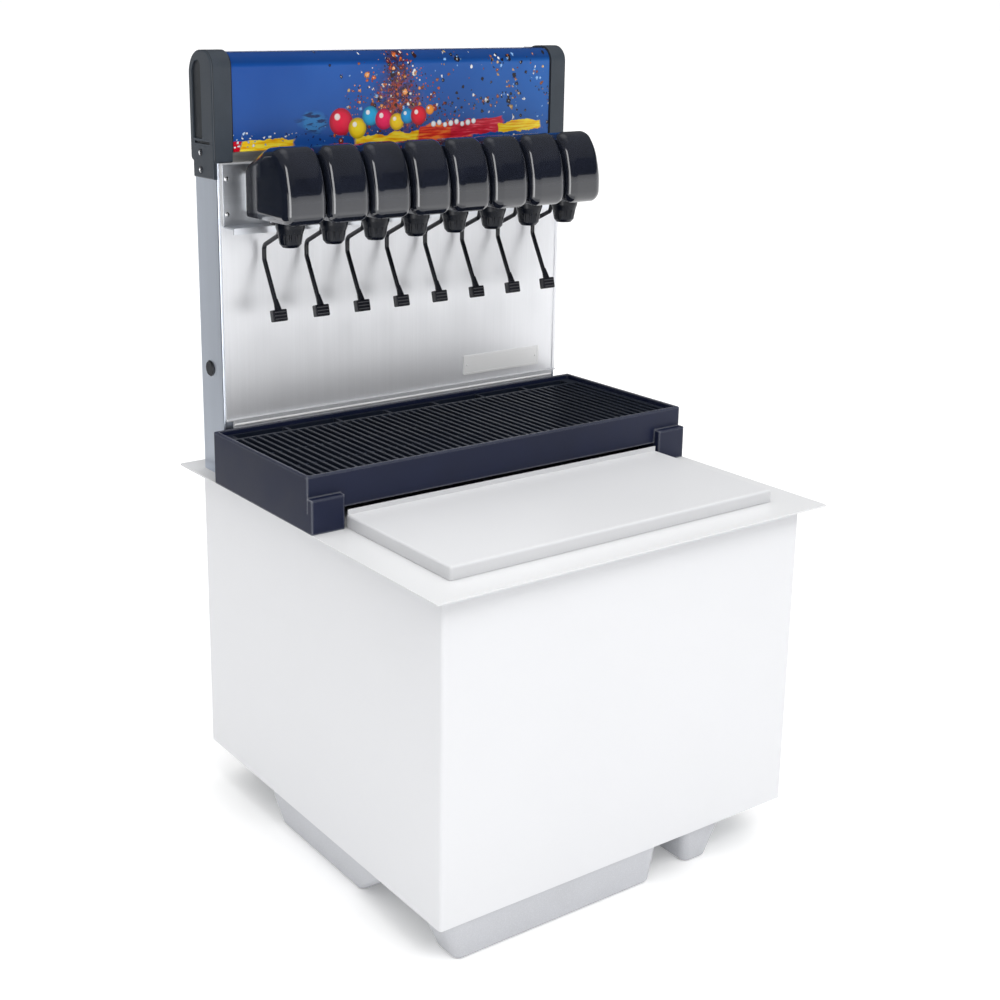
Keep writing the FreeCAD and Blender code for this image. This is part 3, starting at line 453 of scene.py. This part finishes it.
def header_film(name):
    """Deep blue film with a burst of drink droplets, loose strokes of colour and round bubbles."""
    g = Graph(name, Specular_IOR_Level=0.3)
    point = g.split(g.place((1000.0, 1000.0, 1000.0)))
    x, z = point[0], g.math("SUBTRACT", point[2], PANEL_LOW.z * 1000.0)
    sway = g.math("SUBTRACT", g.noise(g.place((70.0, 1.0, 70.0)), 1.0, 4.0), 0.5)
    bend = g.math("SUBTRACT", g.noise(g.place((60.0, 1.0, 60.0), (3.0, 0.0, 7.0)), 1.0, 4.0), 0.5)
    across = g.math("MULTIPLY_ADD", sway, 22.0, x)
    up = g.math("MULTIPLY_ADD", bend, 14.0, z)
    fray_x = g.noise(g.place((380.0, 1.0, 380.0)), 1.0, 2.0)
    fray_z = g.noise(g.place((380.0, 1.0, 380.0), (9.0, 0.0, 4.0)), 1.0, 2.0)
    ragged_x = g.math("MULTIPLY_ADD", fray_x, 5.0, x)
    ragged_z = g.math("MULTIPLY_ADD", fray_z, 5.0, z)

    depth = g.noise(g.place((9.0, 1.0, 5.0)), 1.0, 2.0)
    ground = g.mix(g.span(depth, 0.35, 0.65), rgb(0.007, 0.066, 0.310), rgb(0.014, 0.095, 0.390))
    ground = g.mix(g.span(x, -60.0, 260.0, 0.0, 0.55), ground, rgb(0.030, 0.150, 0.460))
    ground = g.mix(g.span(z, 40.0, 0.0, 0.0, 0.4), ground, rgb(0.006, 0.040, 0.220))
    ground = g.mix(g.span(z, 102.0, 108.0, 0.0, 0.85), ground, TOP_BLUE)

    wave = disc(g, across, g.math("MULTIPLY", up, 1.6), (-134.0, 50.0), 24.0)
    ground = g.mix(g.span(wave, 1.0, 0.6, 0.0, 0.75), ground, rgb(0.035, 0.24, 0.55))
    streaks = g.span(g.noise(g.place((60.0, 1.0, 240.0)), 1.0, 3.0), 0.52, 0.60)
    ground = g.mix(g.math("MULTIPLY", streaks, g.span(wave, 1.15, 0.7)), ground, rgb(0.005, 0.03, 0.13))

    fall = g.math("MULTIPLY_ADD", g.span(z, 118.0, 28.0), 62.0, 24.0)
    spread = g.math("DIVIDE", g.math("ABSOLUTE", g.math("SUBTRACT", across, -6.0)), fall)
    column = g.math("MULTIPLY", g.span(spread, 1.30, 0.45), g.span(z, 6.0, 26.0, 0.5, 1.0))
    core = g.math("MULTIPLY", g.span(spread, 0.70, 0.20), g.span(z, 8.0, 30.0))
    rag = g.span(g.noise(g.join(across, up, 0.0), 0.16, 4.0, 0.75), 0.40, 0.50)
    ground = g.mix(g.math("MULTIPLY", core, g.math("MULTIPLY", rag, 0.9)), ground, rgb(0.045, 0.012, 0.016))
    glow = g.span(disc(g, x, z, (-2.0, 50.0), 44.0), 1.0, 0.4)
    fire = g.math("MULTIPLY", g.span(spread, 0.9, 0.3), glow)
    ember_rag = g.span(g.noise(g.join(across, up, 4.0), 0.13, 4.0, 0.75), 0.48, 0.58)
    ground = g.mix(g.math("MULTIPLY", fire, ember_rag), ground, rgb(0.40, 0.055, 0.015))
    art = drops(g, ground, ragged_x, ragged_z, 0.085, 0.44, column, DRINK_TINTS)
    art = drops(g, art, ragged_x, ragged_z, 0.15, 0.46, g.math("MULTIPLY", column, 1.05), DRINK_TINTS)
    art = drops(g, art, x, z, 0.27, 0.44, column, DRINK_TINTS)

    trail = g.math("MULTIPLY", g.span(x, 0.0, 40.0), g.span(x, 150.0, 110.0))
    trail = g.math("MULTIPLY", trail, g.span(disc(g, 0.0, up, (0.0, 34.0), 26.0), 1.0, 0.4))
    art = drops(g, art, ragged_x, ragged_z, 0.17, 0.44, g.math("MULTIPLY", trail, 0.75), DRINK_TINTS)
    right = g.math("MULTIPLY", g.span(x, 50.0, 90.0), g.span(z, 14.0, 30.0))
    patch = g.span(g.noise(g.place((24.0, 1.0, 24.0), (5.0, 0.0, 2.0)), 1.0, 2.0), 0.47, 0.60)
    patch = g.math("MULTIPLY", right, patch)
    art = drops(g, art, ragged_x, ragged_z, 0.090, 0.46, g.math("MULTIPLY", patch, 0.8), COLA_TINTS)
    art = drops(g, art, ragged_x, ragged_z, 0.19, 0.48, g.math("MULTIPLY", patch, 0.9), COLA_TINTS)
    spray = g.math("MULTIPLY", g.span(x, -130.0, -50.0), g.span(z, 70.0, 100.0, 0.18, 0.42))
    art = drops(g, art, ragged_x, ragged_z, 0.12, 0.34, spray, COLA_TINTS)
    speckle = g.math("MULTIPLY", g.span(x, -210.0, -160.0), g.span(x, -70.0, -100.0))
    speckle = g.math("MULTIPLY", speckle, g.span(z, 34.0, 12.0))
    art = drops(g, art, ragged_x, ragged_z, 0.22, 0.44, g.math("MULTIPLY", speckle, 0.55), SPECKLE_TINTS)

    shine = g.noise(g.place((45.0, 1.0, 400.0)), 1.0, 3.0)
    gold, ember, rose = [g.ramp(shine, stops) for stops in (GOLD_STOPS, EMBER_STOPS, ROSE_STOPS)]
    lift = g.math("SUBTRACT", up, g.span(x, -60.0, 240.0, 0.0, 16.0))
    art = brush_stroke(g, art, across, up, -240.0, -160.0, -6.0, 13.0, gold)
    art = brush_stroke(g, art, across, up, -256.0, -239.0, -2.0, 13.0, rgb(0.60, 0.005, 0.02))
    art = brush_stroke(g, art, across, lift, -74.0, 50.0, -12.0, 11.0, gold)
    art = brush_stroke(g, art, across, lift, 26.0, 116.0, -12.0, 17.0, ember)
    art = brush_stroke(g, art, across, lift, 78.0, 170.0, -4.0, 17.0, rose)
    art = brush_stroke(g, art, across, lift, 158.0, 238.0, -6.0, 8.0, gold)
    froth = g.span(disc(g, 0.0, up, (0.0, 13.0), 9.0), 1.0, 0.4)
    froth = g.math("MULTIPLY", g.span(x, -150.0, -190.0), froth)
    art = drops(g, art, ragged_x, ragged_z, 0.20, 0.50, froth, FOAM_TINTS)
    for centre, radius, colour in BUBBLES:
        art = bubble(g, art, x, z, centre, radius, colour)
    for step in range(PEARL_COUNT):
        place = (52.0 + PEARL_PITCH * step, 23.0 + 1.8 * math.sin(step * 2.1))
        art = bubble(g, art, x, z, place, 4.2 - 0.3 * (step % 3), rgb(0.86, 0.88, 0.92))

    top = (PANEL_HIGH.z - PANEL_LOW.z) * 1000.0
    g.colour(g.mix(g.span(z, top - 1.6, top - 0.2), art, TOP_BLUE))
    g.roughness(g.span(g.noise(g.place(), 150.0, 2.0), 0.3, 0.7, 0.18, 0.26))
    g.bump(g.noise(g.place(), 60.0, 2.0), 0.00004)
    return g.material


def make_materials():
    """One procedural material for each material slot of the record."""
    upright = (900.0, 900.0, 9.0)
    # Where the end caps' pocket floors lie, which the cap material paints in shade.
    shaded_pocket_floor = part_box("end_cap_right")[1].x - CAP_POCKET_DEPTH
    return {
        "cabinet_white": painted_sheet("cabinet_white", rgb(0.79, 0.797, 0.818)),
        "deck_sheet": painted_sheet("deck_sheet", rgb(0.735, 0.74, 0.75), 0.32),
        "lid_sheet": painted_sheet("lid_sheet", rgb(0.715, 0.72, 0.735), 0.30),
        "skid_plastic": moulded(
            "skid_plastic", rgb(0.545, 0.555, 0.585), 0.52, 700.0, 0.0001, 1.1, mottle=0.03),
        "seal_foam": moulded("seal_foam", rgb(0.42, 0.43, 0.44), 0.8, 900.0, 0.0003, 1.1),
        "galvanised": zinc("galvanised"),
        "foam": foam("foam"),
        "liner_plastic": moulded("liner_plastic", rgb(0.82, 0.83, 0.84), 0.40, 500.0, 0.00004, 1.05),
        "cast_aluminium": cast_metal("cast_aluminium"),
        "drain_plastic": moulded("drain_plastic", rgb(0.045, 0.045, 0.05), 0.45),
        # The tray's lighter rim lines are a painted highlight.
        "tray_plastic": moulded(
            "tray_plastic", rgb(0.0078, 0.0118, 0.037), 0.40,
            edge_highlight=rgb(0.45, 0.47, 0.51), shine=0.28, highlight_radius=0.0036),
        "grille_plastic": moulded("grille_plastic", rgb(0.009, 0.013, 0.024), 0.36, 1500.0, 0.00003, 3.0),
        "tower_steel": brushed_steel("tower_steel", rgb(0.68, 0.735, 0.82), 0.34, upright),
        "black_plastic": moulded("black_plastic", rgb(0.010, 0.012, 0.017), 0.42, shine=0.28),
        "splash_steel": brushed_steel("splash_steel", rgb(0.91, 0.92, 0.95), 0.37, upright, metal=0.56),
        "plate_aluminium": satin_metal("plate_aluminium", rgb(0.96, 0.965, 0.97), 0.40, 2600.0, 0.02, 0.15),
        "component_steel": dipped_component("component_steel"),
        "cap_plastic": moulded(
            "cap_plastic", rgb(0.040, 0.050, 0.064), 0.44, 1100.0, 0.00008, 2.6, 0.35, 0.0012, shaded_pocket_floor),
        "screw_chrome": bright_chrome("screw_chrome"),
        "graphic_panel": header_film("graphic_panel"),
        "trim_aluminium": satin_metal("trim_aluminium", rgb(0.72, 0.71, 0.68), 0.40),
        "lamp_glass": frosted_glass("lamp_glass"),
        "white_plastic": moulded("white_plastic", rgb(0.74, 0.74, 0.73), 0.42, 900.0, 0.00004, 1.05),
        "bracket_steel": brushed_steel("bracket_steel", rgb(0.85, 0.88, 0.93), 0.34, (9.0, 900.0, 900.0)),
        "valve_block": moulded("valve_block", rgb(0.05, 0.05, 0.055), 0.45),
        "spring_steel": bright_chrome("spring_steel"),
        "nozzle_plastic": moulded(
            "nozzle_plastic", rgb(0.004, 0.006, 0.012), 0.26, 1600.0, 0.00002, 2.4, 0.26),
        "tube_steel": satin_metal("tube_steel", rgb(0.58, 0.59, 0.61), 0.28, 400.0),
        "cover_gloss": gloss_cover("cover_gloss"),
        "lever_plastic": moulded(
            "lever_plastic", rgb(0.006, 0.007, 0.012), 0.28, 1500.0, 0.00002, 2.4, 0.35),
    }


# Mesh building


def add_object(name, mesh, material):
    """An object in the scene for a finished bmesh, which is freed."""
    data = bpy.data.meshes.new(name)
    mesh.to_mesh(data)
    mesh.free()
    data.materials.append(material)
    made = bpy.data.objects.new(name, data)
    bpy.context.scene.collection.objects.link(made)
    return made


def new_piece(name, mesh, body, slot_name, smooth_angle=40.0):
    """A piece of the dispenser, which rides on a body and takes a slot's finish."""
    bmesh.ops.recalc_face_normals(mesh, faces=mesh.faces)
    piece = add_object(name, mesh, MATERIALS[slot_name])
    for polygon in piece.data.polygons:
        polygon.use_smooth = True
    piece.data.set_sharp_from_angle(angle=math.radians(smooth_angle))
    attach(piece, body)
    return piece


def soften(piece, width, segments=2):
    """Rounds every sharp edge of a piece."""
    modifier = piece.modifiers.new("Soft edges", "BEVEL")
    modifier.width = width
    modifier.segments = segments
    modifier.limit_method = "ANGLE"
    modifier.angle_limit = math.radians(40)
    modifier.harden_normals = False


def turned(mesh, profile, matrix, steps=32):
    """Adds a turned form: (radius, height) points spun about the local Z axis.

    A radius of zero is one point, which closes an end."""
    rings = []
    for radius, height in profile:
        if radius == 0:
            rings.append([mesh.verts.new(matrix @ Vector((0, 0, height)))])
            continue
        ring = []
        for step in range(steps):
            angle = 2 * math.pi * step / steps
            point = Vector((radius * math.cos(angle), radius * math.sin(angle), height))
            ring.append(mesh.verts.new(matrix @ point))
        rings.append(ring)
    for first, second in zip(rings, rings[1:]):
        for step in range(steps):
            after = (step + 1) % steps
            corners = [first[step % len(first)], first[after % len(first)]]
            corners += [second[after % len(second)], second[step % len(second)]]
            unique = list(dict.fromkeys(corners))
            if len(unique) > 2:
                mesh.faces.new(unique)


def facing(place, direction):
    """A matrix that puts the local origin at a place with local Z along a direction."""
    turn = Vector(direction).to_track_quat("Z", "Y").to_matrix().to_4x4()
    return Matrix.Translation(place) @ turn


def slot_spans(middle, count, pitch, width):
    """Start and end of each slot in an evenly spaced row about a middle."""
    centres = [middle + (i - (count - 1) / 2) * pitch for i in range(count)]
    return [(centre - width / 2, centre + width / 2) for centre in centres]


def cup_rest():
    """The cup rest as one moulding: rounded bars over two lower cross ribs, and wide slots behind."""
    low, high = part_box("cup_rest_grille")
    middle = (low.x + high.x) / 2
    inside = high.x - low.x - 2 * RIB_T
    bars = slot_spans(middle, int(inside / BAR_PITCH), BAR_PITCH, BAR_SLOT)
    wide = slot_spans(middle, int((high.x - low.x) / REAR_PITCH), REAR_PITCH, REAR_PITCH - RIB_T)
    rear = high.y - RIB_T - REAR_SLOT_D
    depth = (rear - RIB_T - low.y - RIB_T) / 3
    rows = [(low.y + RIB_T, rear - RIB_T, bars), (rear, rear + REAR_SLOT_D, wide)]
    xs = sorted({low.x, high.x} | {x for span in bars + wide for x in span})
    ys = sorted({low.y, high.y} | {y for start, end, _ in rows for y in (start, end)})

    def is_open(i, j):
        if not (0 <= i < len(xs) - 1 and 0 <= j < len(ys) - 1):
            return True
        x, y = (xs[i] + xs[i + 1]) / 2, (ys[j] + ys[j + 1]) / 2
        for start, end, spans in rows:
            if start < y < end:
                return any(a < x < b for a, b in spans)
        return False

    mesh = bmesh.new()
    corners = {}

    def corner(i, j, z):
        key = (i, j, z)
        if key not in corners:
            corners[key] = mesh.verts.new((xs[i], ys[j], z))
        return corners[key]

    for i in range(len(xs) - 1):
        for j in range(len(ys) - 1):
            if is_open(i, j):
                continue
            ring = [(i, j), (i + 1, j), (i + 1, j + 1), (i, j + 1)]
            mesh.faces.new([corner(a, b, high.z) for a, b in ring])
            mesh.faces.new([corner(a, b, low.z) for a, b in reversed(ring)])
            beside = [(i, j - 1), (i + 1, j), (i, j + 1), (i - 1, j)]
            for side, (a, b) in enumerate(beside):
                if is_open(a, b):
                    (p, q), (r, s) = ring[side], ring[(side + 1) % 4]
                    foot = [corner(p, q, low.z), corner(r, s, low.z)]
                    mesh.faces.new(foot + [corner(r, s, high.z), corner(p, q, high.z)])
    for row in (1, 2):
        centre = Vector((middle, low.y + RIB_T / 2 + row * depth, (low.z + high.z - CROSS_RIB_DROP) / 2))
        size = (high.x - low.x - RIB_T, RIB_T, high.z - low.z - CROSS_RIB_DROP)
        place = Matrix.Translation(centre) @ Matrix.Diagonal((*size, 1.0))
        bmesh.ops.create_cube(mesh, size=1.0, matrix=place)
    piece = new_piece("cup_rest_bars", mesh, "cup_rest", "grille_plastic")
    soften(piece, 0.0011, 2)
    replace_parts(piece, "cup_rest_grille")


def screw_head(mesh, place, direction, radius, height):
    """A pan head with a cross recess pressed into its crown."""
    steps, rings = 40, 9
    matrix = facing(place, direction)
    angles = [2 * math.pi * step / steps for step in range(steps)]
    circle = [(math.cos(angle), math.sin(angle)) for angle in angles]
    grid = []
    for ring in range(rings + 1):
        share = ring / rings
        line = []
        for across, along in circle if ring else circle[:1]:
            x, y = share * across, share * along
            z = height * math.sqrt(max(1 - (0.92 * share) ** 4, 0.0))
            in_cross = min(abs(x), abs(y)) < 0.13 and max(abs(x), abs(y)) < 0.58
            z -= height * 0.5 if in_cross else 0.0
            line.append(mesh.verts.new(matrix @ Vector((radius * x, radius * y, z))))
        grid.append(line)
    grid.append([mesh.verts.new(matrix @ Vector((radius * x, radius * y, 0.0))) for x, y in circle])
    for first, second in zip(grid, grid[1:]):
        for step in range(steps):
            after = (step + 1) % steps
            corners = [first[step % len(first)], first[after % len(first)], second[after], second[step]]
            mesh.faces.new(list(dict.fromkeys(corners)))
    mesh.faces.new(list(reversed(grid[-1])))


def end_cap_screws():
    """Two screws in each end cap's neck, each in a thin dark cup washer."""
    low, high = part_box("end_cap_screws")
    radius = (high.y - low.y) / 2
    face = high.x - 0.0016
    heads, washers = bmesh.new(), bmesh.new()
    for side in (-1, 1):
        for z in (low.z + radius, high.z - radius):
            place = Vector((side * face, (low.y + high.y) / 2, z))
            screw_head(heads, place + Vector((side * 0.0003, 0, 0)), (side, 0, 0), radius * 0.82, 0.0013)
            rim = [(1.15, 0.0), (1.1, 0.0005), (0.84, 0.0005), (0.84, 0.0), (1.15, 0.0)]
            ring = [(radius * share, height) for share, height in rim]
            turned(washers, ring, facing(place, (side, 0, 0)))
    heads_piece = new_piece("end_cap_screw_heads", heads, "root", "screw_chrome", 30)
    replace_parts(heads_piece, "end_cap_screws")
    new_piece("end_cap_cup_washers", washers, "root", "black_plastic")


def bracket_rivets():
    """Domed rivets that hold the valve bracket."""
    low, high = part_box("bracket_rivets")
    radius = BRACKET_RIVET_R
    mesh = bmesh.new()
    dome = [(radius, 0.0), (radius, 0.0003), (radius * 0.86, 0.0009), (radius * 0.5, 0.00125), (0.0, 0.0014)]
    for x in (low.x + radius, high.x - radius):
        for z in (low.z + radius, high.z - radius):
            turned(mesh, [(0.0, 0.0)] + dome, facing(Vector((x, high.y, z)), (0, -1, 0)), 24)
    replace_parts(new_piece("bracket_rivet_heads", mesh, "root", "screw_chrome"), "bracket_rivets")


def hatch_screws():
    """Pan head screws round the rear hatch."""
    low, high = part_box("rear_hatch_screws")
    radius = HATCH_SCREW_R
    mesh = bmesh.new()
    for x in (low.x + radius, high.x - radius):
        for z in (low.z + radius, (low.z + high.z) / 2, high.z - radius):
            screw_head(mesh, Vector((x, low.y, z)), (0, 1, 0), radius, high.y - low.y)
    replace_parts(new_piece("rear_hatch_screw_heads", mesh, "root", "screw_chrome", 30), "rear_hatch_screws")


def panel_gaskets():
    """Thin dark gaskets between the printed panel and the end caps, bent over the panel's curve."""
    front, top, back = PANEL_LOW.y, PANEL_HIGH.z, PANEL_HIGH.y
    bend = 0.018
    path = [(front, PANEL_LOW.z), (front, top - bend)]
    for step in range(1, 9):
        angle = math.pi / 2 * step / 8
        path.append((front + bend - bend * math.cos(angle), top - bend + bend * math.sin(angle)))
    path.append((back, top))
    proud, deep, width = 0.0007, 0.002, 0.0016
    centre = (front + bend, top - bend)
    mesh = bmesh.new()
    for side in (-1, 1):
        outer = PANEL_HIGH.x * side
        rows = []
        for y, z in path:
            out = Vector((0, min(y - centre[0], 0.0), max(z - centre[1], 0.0))).normalized()
            near = Vector((outer - side * width, y, z))
            far = Vector((outer + side * 0.0003, y, z))
            rows.append([near + out * proud, far + out * proud, far - out * deep, near - out * deep])
        rings = [[mesh.verts.new(point) for point in row] for row in rows]
        for first, second in zip(rings, rings[1:]):
            for k in range(4):
                mesh.faces.new([first[k], first[(k + 1) % 4], second[(k + 1) % 4], second[k]])
        mesh.faces.new(rings[0])
        mesh.faces.new(rings[-1])
    soften(new_piece("panel_gaskets", mesh, "root", "black_plastic"), 0.0003)


def splash_foot():
    """A bright rolled bead along the splash panel's drop, just above the drip tray's rim."""
    low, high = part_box("splash_panel")
    radius, inset, lift = 0.0018, 0.0090, 0.0052
    start = Matrix.Translation((low.x + inset, low.y + 0.0006, low.z + lift))
    length = high.x - low.x - 2 * inset
    mesh = bmesh.new()
    profile = [(0.0, 0.0), (radius * 0.8, 0.0), (radius, 0.0004)]
    profile += [(radius, length - 0.0004), (radius * 0.8, length), (0.0, length)]
    turned(mesh, profile, start @ Matrix.Rotation(math.pi / 2, 4, "Y"), 24)
    new_piece("splash_foot_bead", mesh, "root", "plate_aluminium")


def label_border():
    """A raised rim round the blank plate, with a small rivet at each end."""
    low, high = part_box("label_plate")
    front = low.y
    inset, width, proud = 0.0022, 0.0008, 0.0003
    mesh = bmesh.new()
    loops = []
    for step in (inset, inset + width):
        for y in (front, front - proud):
            x0, x1, z0, z1 = low.x + step, high.x - step, low.z + step, high.z - step
            loops.append([mesh.verts.new(p) for p in ((x0, y, z0), (x1, y, z0), (x1, y, z1), (x0, y, z1))])
    order = [loops[0], loops[1], loops[3], loops[2]]
    for a, b in zip(order, order[1:] + order[:1]):
        for k in range(4):
            mesh.faces.new([a[k], a[(k + 1) % 4], b[(k + 1) % 4], b[k]])
    for x in (low.x + 0.0065, high.x - 0.0065):
        place = Vector((x, front, (low.z + high.z) / 2))
        dome = [(0.0, 0.0), (0.0016, 0.0), (0.0015, 0.0004), (0.0009, 0.0007), (0.0, 0.0008)]
        turned(mesh, dome, facing(place, (0, -1, 0)), 20)
    soften(new_piece("label_plate_rim", mesh, "root", "plate_aluminium"), 0.0001, 1)


def lever_pads():
    """Each lever's pad gets raised grip ribs across its front and a flared neck where its wire enters."""
    hinges = {joint["child"]: joint for joint in frame["record"]["behaviour"]["joints"]}
    for number in range(1, LEVER_COUNT + 1):
        body = "lever_%d" % number
        centre = Vector(hinges[body]["pos_m"]) + PAD_FROM_HINGE
        turn = Matrix.Translation(centre) @ Matrix.Rotation(PAD_TILT, 4, "X")
        mesh = bmesh.new()
        for rib in range(PAD_RIB_COUNT):
            z = (rib - (PAD_RIB_COUNT - 1) / 2) * PAD_RIB_PITCH - 0.0005
            profile = [(-0.0045, z - 0.0010), (-0.0053, z - 0.0005)]
            profile += [(-0.0053, z + 0.0005), (-0.0045, z + 0.0010)]
            ends = []
            for x in (-PAD_RIB_HALF, PAD_RIB_HALF):
                ends.append([mesh.verts.new(turn @ Vector((x, y, height))) for y, height in profile])
            for k in range(4):
                mesh.faces.new([ends[0][k], ends[0][(k + 1) % 4], ends[1][(k + 1) % 4], ends[1][k]])
            mesh.faces.new(ends[0])
            mesh.faces.new(ends[1])
        new_piece("lever_pad_ribs_%d" % number, mesh, body, "valve_block")
        neck = bmesh.new()
        foot = turn @ Vector((0.0, 0.0, 0.0065))
        wire = Vector((0.0, 0.035, 0.066))
        flare = [(0.0, 0.0), (0.0046, 0.0), (0.0040, 0.005), (0.0034, 0.010), (0.0030, 0.014), (0.0, 0.014)]
        turned(neck, flare, facing(foot, wire), 20)
        new_piece("lever_pad_neck_%d" % number, neck, body, "lever_plastic")


# Setting


def give_materials():
    """Each carried-over CAD node gets its slot's material."""
    for subpart in frame["record"]["subparts"]:
        node = frame["nodes"][subpart["node"]]
        node.data.materials.clear()
        node.data.materials.append(MATERIALS[subpart["material_slot"]])


def floor():
    """A plain pale floor."""
    g = Graph("floor_paper", Roughness=0.85, Specular_IOR_Level=0.1, Emission_Strength=0.15)
    grain = g.noise(g.place(), 60.0, 3.0)
    g.colour(g.mix(g.span(grain, 0.3, 0.7), rgb(0.935, 0.935, 0.935), rgb(0.955, 0.955, 0.955)))
    mesh = bmesh.new()
    bmesh.ops.create_grid(mesh, x_segments=8, y_segments=8, size=90.0)
    sheet = add_object("floor", mesh, g.material)
    sheet.location = (0.0, 0.0, -FLOOR_DROP)


def sky():
    """Studio surround: plain white to the camera, a bright dome for the light, and a dim one to reflect."""
    world = bpy.data.worlds.new("studio")
    bpy.context.scene.world = world
    world.use_nodes = True
    nodes, links = world.node_tree.nodes, world.node_tree.links
    background = nodes["Background"]
    direction = nodes.new("ShaderNodeTexCoord").outputs["Generated"]
    parts = nodes.new("ShaderNodeSeparateXYZ")
    links.new(direction, parts.inputs[0])
    height = nodes.new("ShaderNodeMapRange")
    height.inputs["From Min"].default_value = -1.0
    links.new(parts.outputs["Z"], height.inputs["Value"])
    domes = []
    for stops in (LIGHT_DOME, MIRRORED_DOME):
        ramp = nodes.new("ShaderNodeValToRGB")
        links.new(height.outputs[0], ramp.inputs[0])
        set_stops(ramp, [(position, rgb(level, level, level)) for position, level in stops])
        domes.append(ramp.outputs[0])
    path = nodes.new("ShaderNodeLightPath").outputs
    chosen = domes[0]
    backdrop = rgb(SEEN_BACKDROP, SEEN_BACKDROP, SEEN_BACKDROP)
    for ray, colour in (("Is Glossy Ray", domes[1]), ("Is Camera Ray", backdrop)):
        switch = nodes.new("ShaderNodeMix")
        switch.data_type = "RGBA"
        links.new(path[ray], switch.inputs[0])
        links.new(chosen, switch.inputs[6])
        if isinstance(colour, tuple):
            switch.inputs[7].default_value = colour
        else:
            links.new(colour, switch.inputs[7])
        chosen = switch.outputs[2]
    links.new(chosen, background.inputs[0])
    background.inputs[1].default_value = DOME_STRENGTH


def soft_light(name, place, aim, size, power, mirrored):
    """A rectangular lamp that either lights surfaces or is only seen mirrored in glossy ones."""
    lamp = bpy.data.lights.new(name, "AREA")
    lamp.shape = "RECTANGLE"
    lamp.size, lamp.size_y = size
    lamp.energy = power
    holder = bpy.data.objects.new(name, lamp)
    holder.location = place
    holder.rotation_euler = (Vector(aim) - Vector(place)).to_track_quat("-Z", "Y").to_euler()
    holder.visible_camera = False
    holder.visible_glossy = mirrored
    holder.visible_diffuse = not mirrored
    bpy.context.scene.collection.objects.link(holder)


def dark_card():
    """A black card beside the machine, which only shows as a dark reflection in its left faces."""
    g = Graph("dark_card_cloth", Roughness=0.95, Specular_IOR_Level=0.0)
    weave = g.noise(g.place(), 40.0, 2.0)
    g.colour(g.mix(weave, rgb(0.006, 0.010, 0.018), rgb(0.014, 0.020, 0.032)))
    mesh = bmesh.new()
    outline = [(-0.1, 0.0), (1.60, 0.0), (1.60, 0.40), (1.57, 0.44), (1.57, 1.20), (-0.1, 1.20)]
    mesh.faces.new([mesh.verts.new((CARD_X, y, z)) for y, z in outline])
    card = add_object("dark_card", mesh, g.material)
    card.visible_camera = False
    card.visible_diffuse = False
    card.visible_shadow = False


def lights():
    """A soft key lamp in front, and a tall strip that only shows as streaks on glossy mouldings."""
    soft_light("key", (-0.3, -2.3, 2.9), (0.0, 0.0, 0.4), (1.6, 1.2), 30.0, False)
    soft_light("strip", (-1.56, -1.09, 1.0), (0.0, 0.0, 1.0), (0.60, 3.0), 21.0, True)


def camera():
    """The photograph's viewing angle."""
    data = bpy.data.cameras.new("camera")
    data.sensor_width = 36.0
    data.lens = CAMERA_LENS
    data.shift_x, data.shift_y = CAMERA_SHIFT_X, CAMERA_SHIFT_Y
    holder = bpy.data.objects.new("camera", data)
    holder.location = CAMERA_PLACE + Vector((0.0, 0.0, DECK_Z))
    flat = math.cos(CAMERA_PITCH)
    look = Vector((math.sin(CAMERA_YAW) * flat, math.cos(CAMERA_YAW) * flat, -math.sin(CAMERA_PITCH)))
    holder.rotation_euler = look.to_track_quat("-Z", "Y").to_euler()
    bpy.context.scene.collection.objects.link(holder)
    bpy.context.scene.camera = holder


MATERIALS = make_materials()
give_materials()
cup_rest()
end_cap_screws()
bracket_rivets()
hatch_screws()
panel_gaskets()
splash_foot()
label_border()
lever_pads()
floor()
dark_card()
sky()
lights()
camera()
bpy.context.scene.view_settings.view_transform = "Standard"
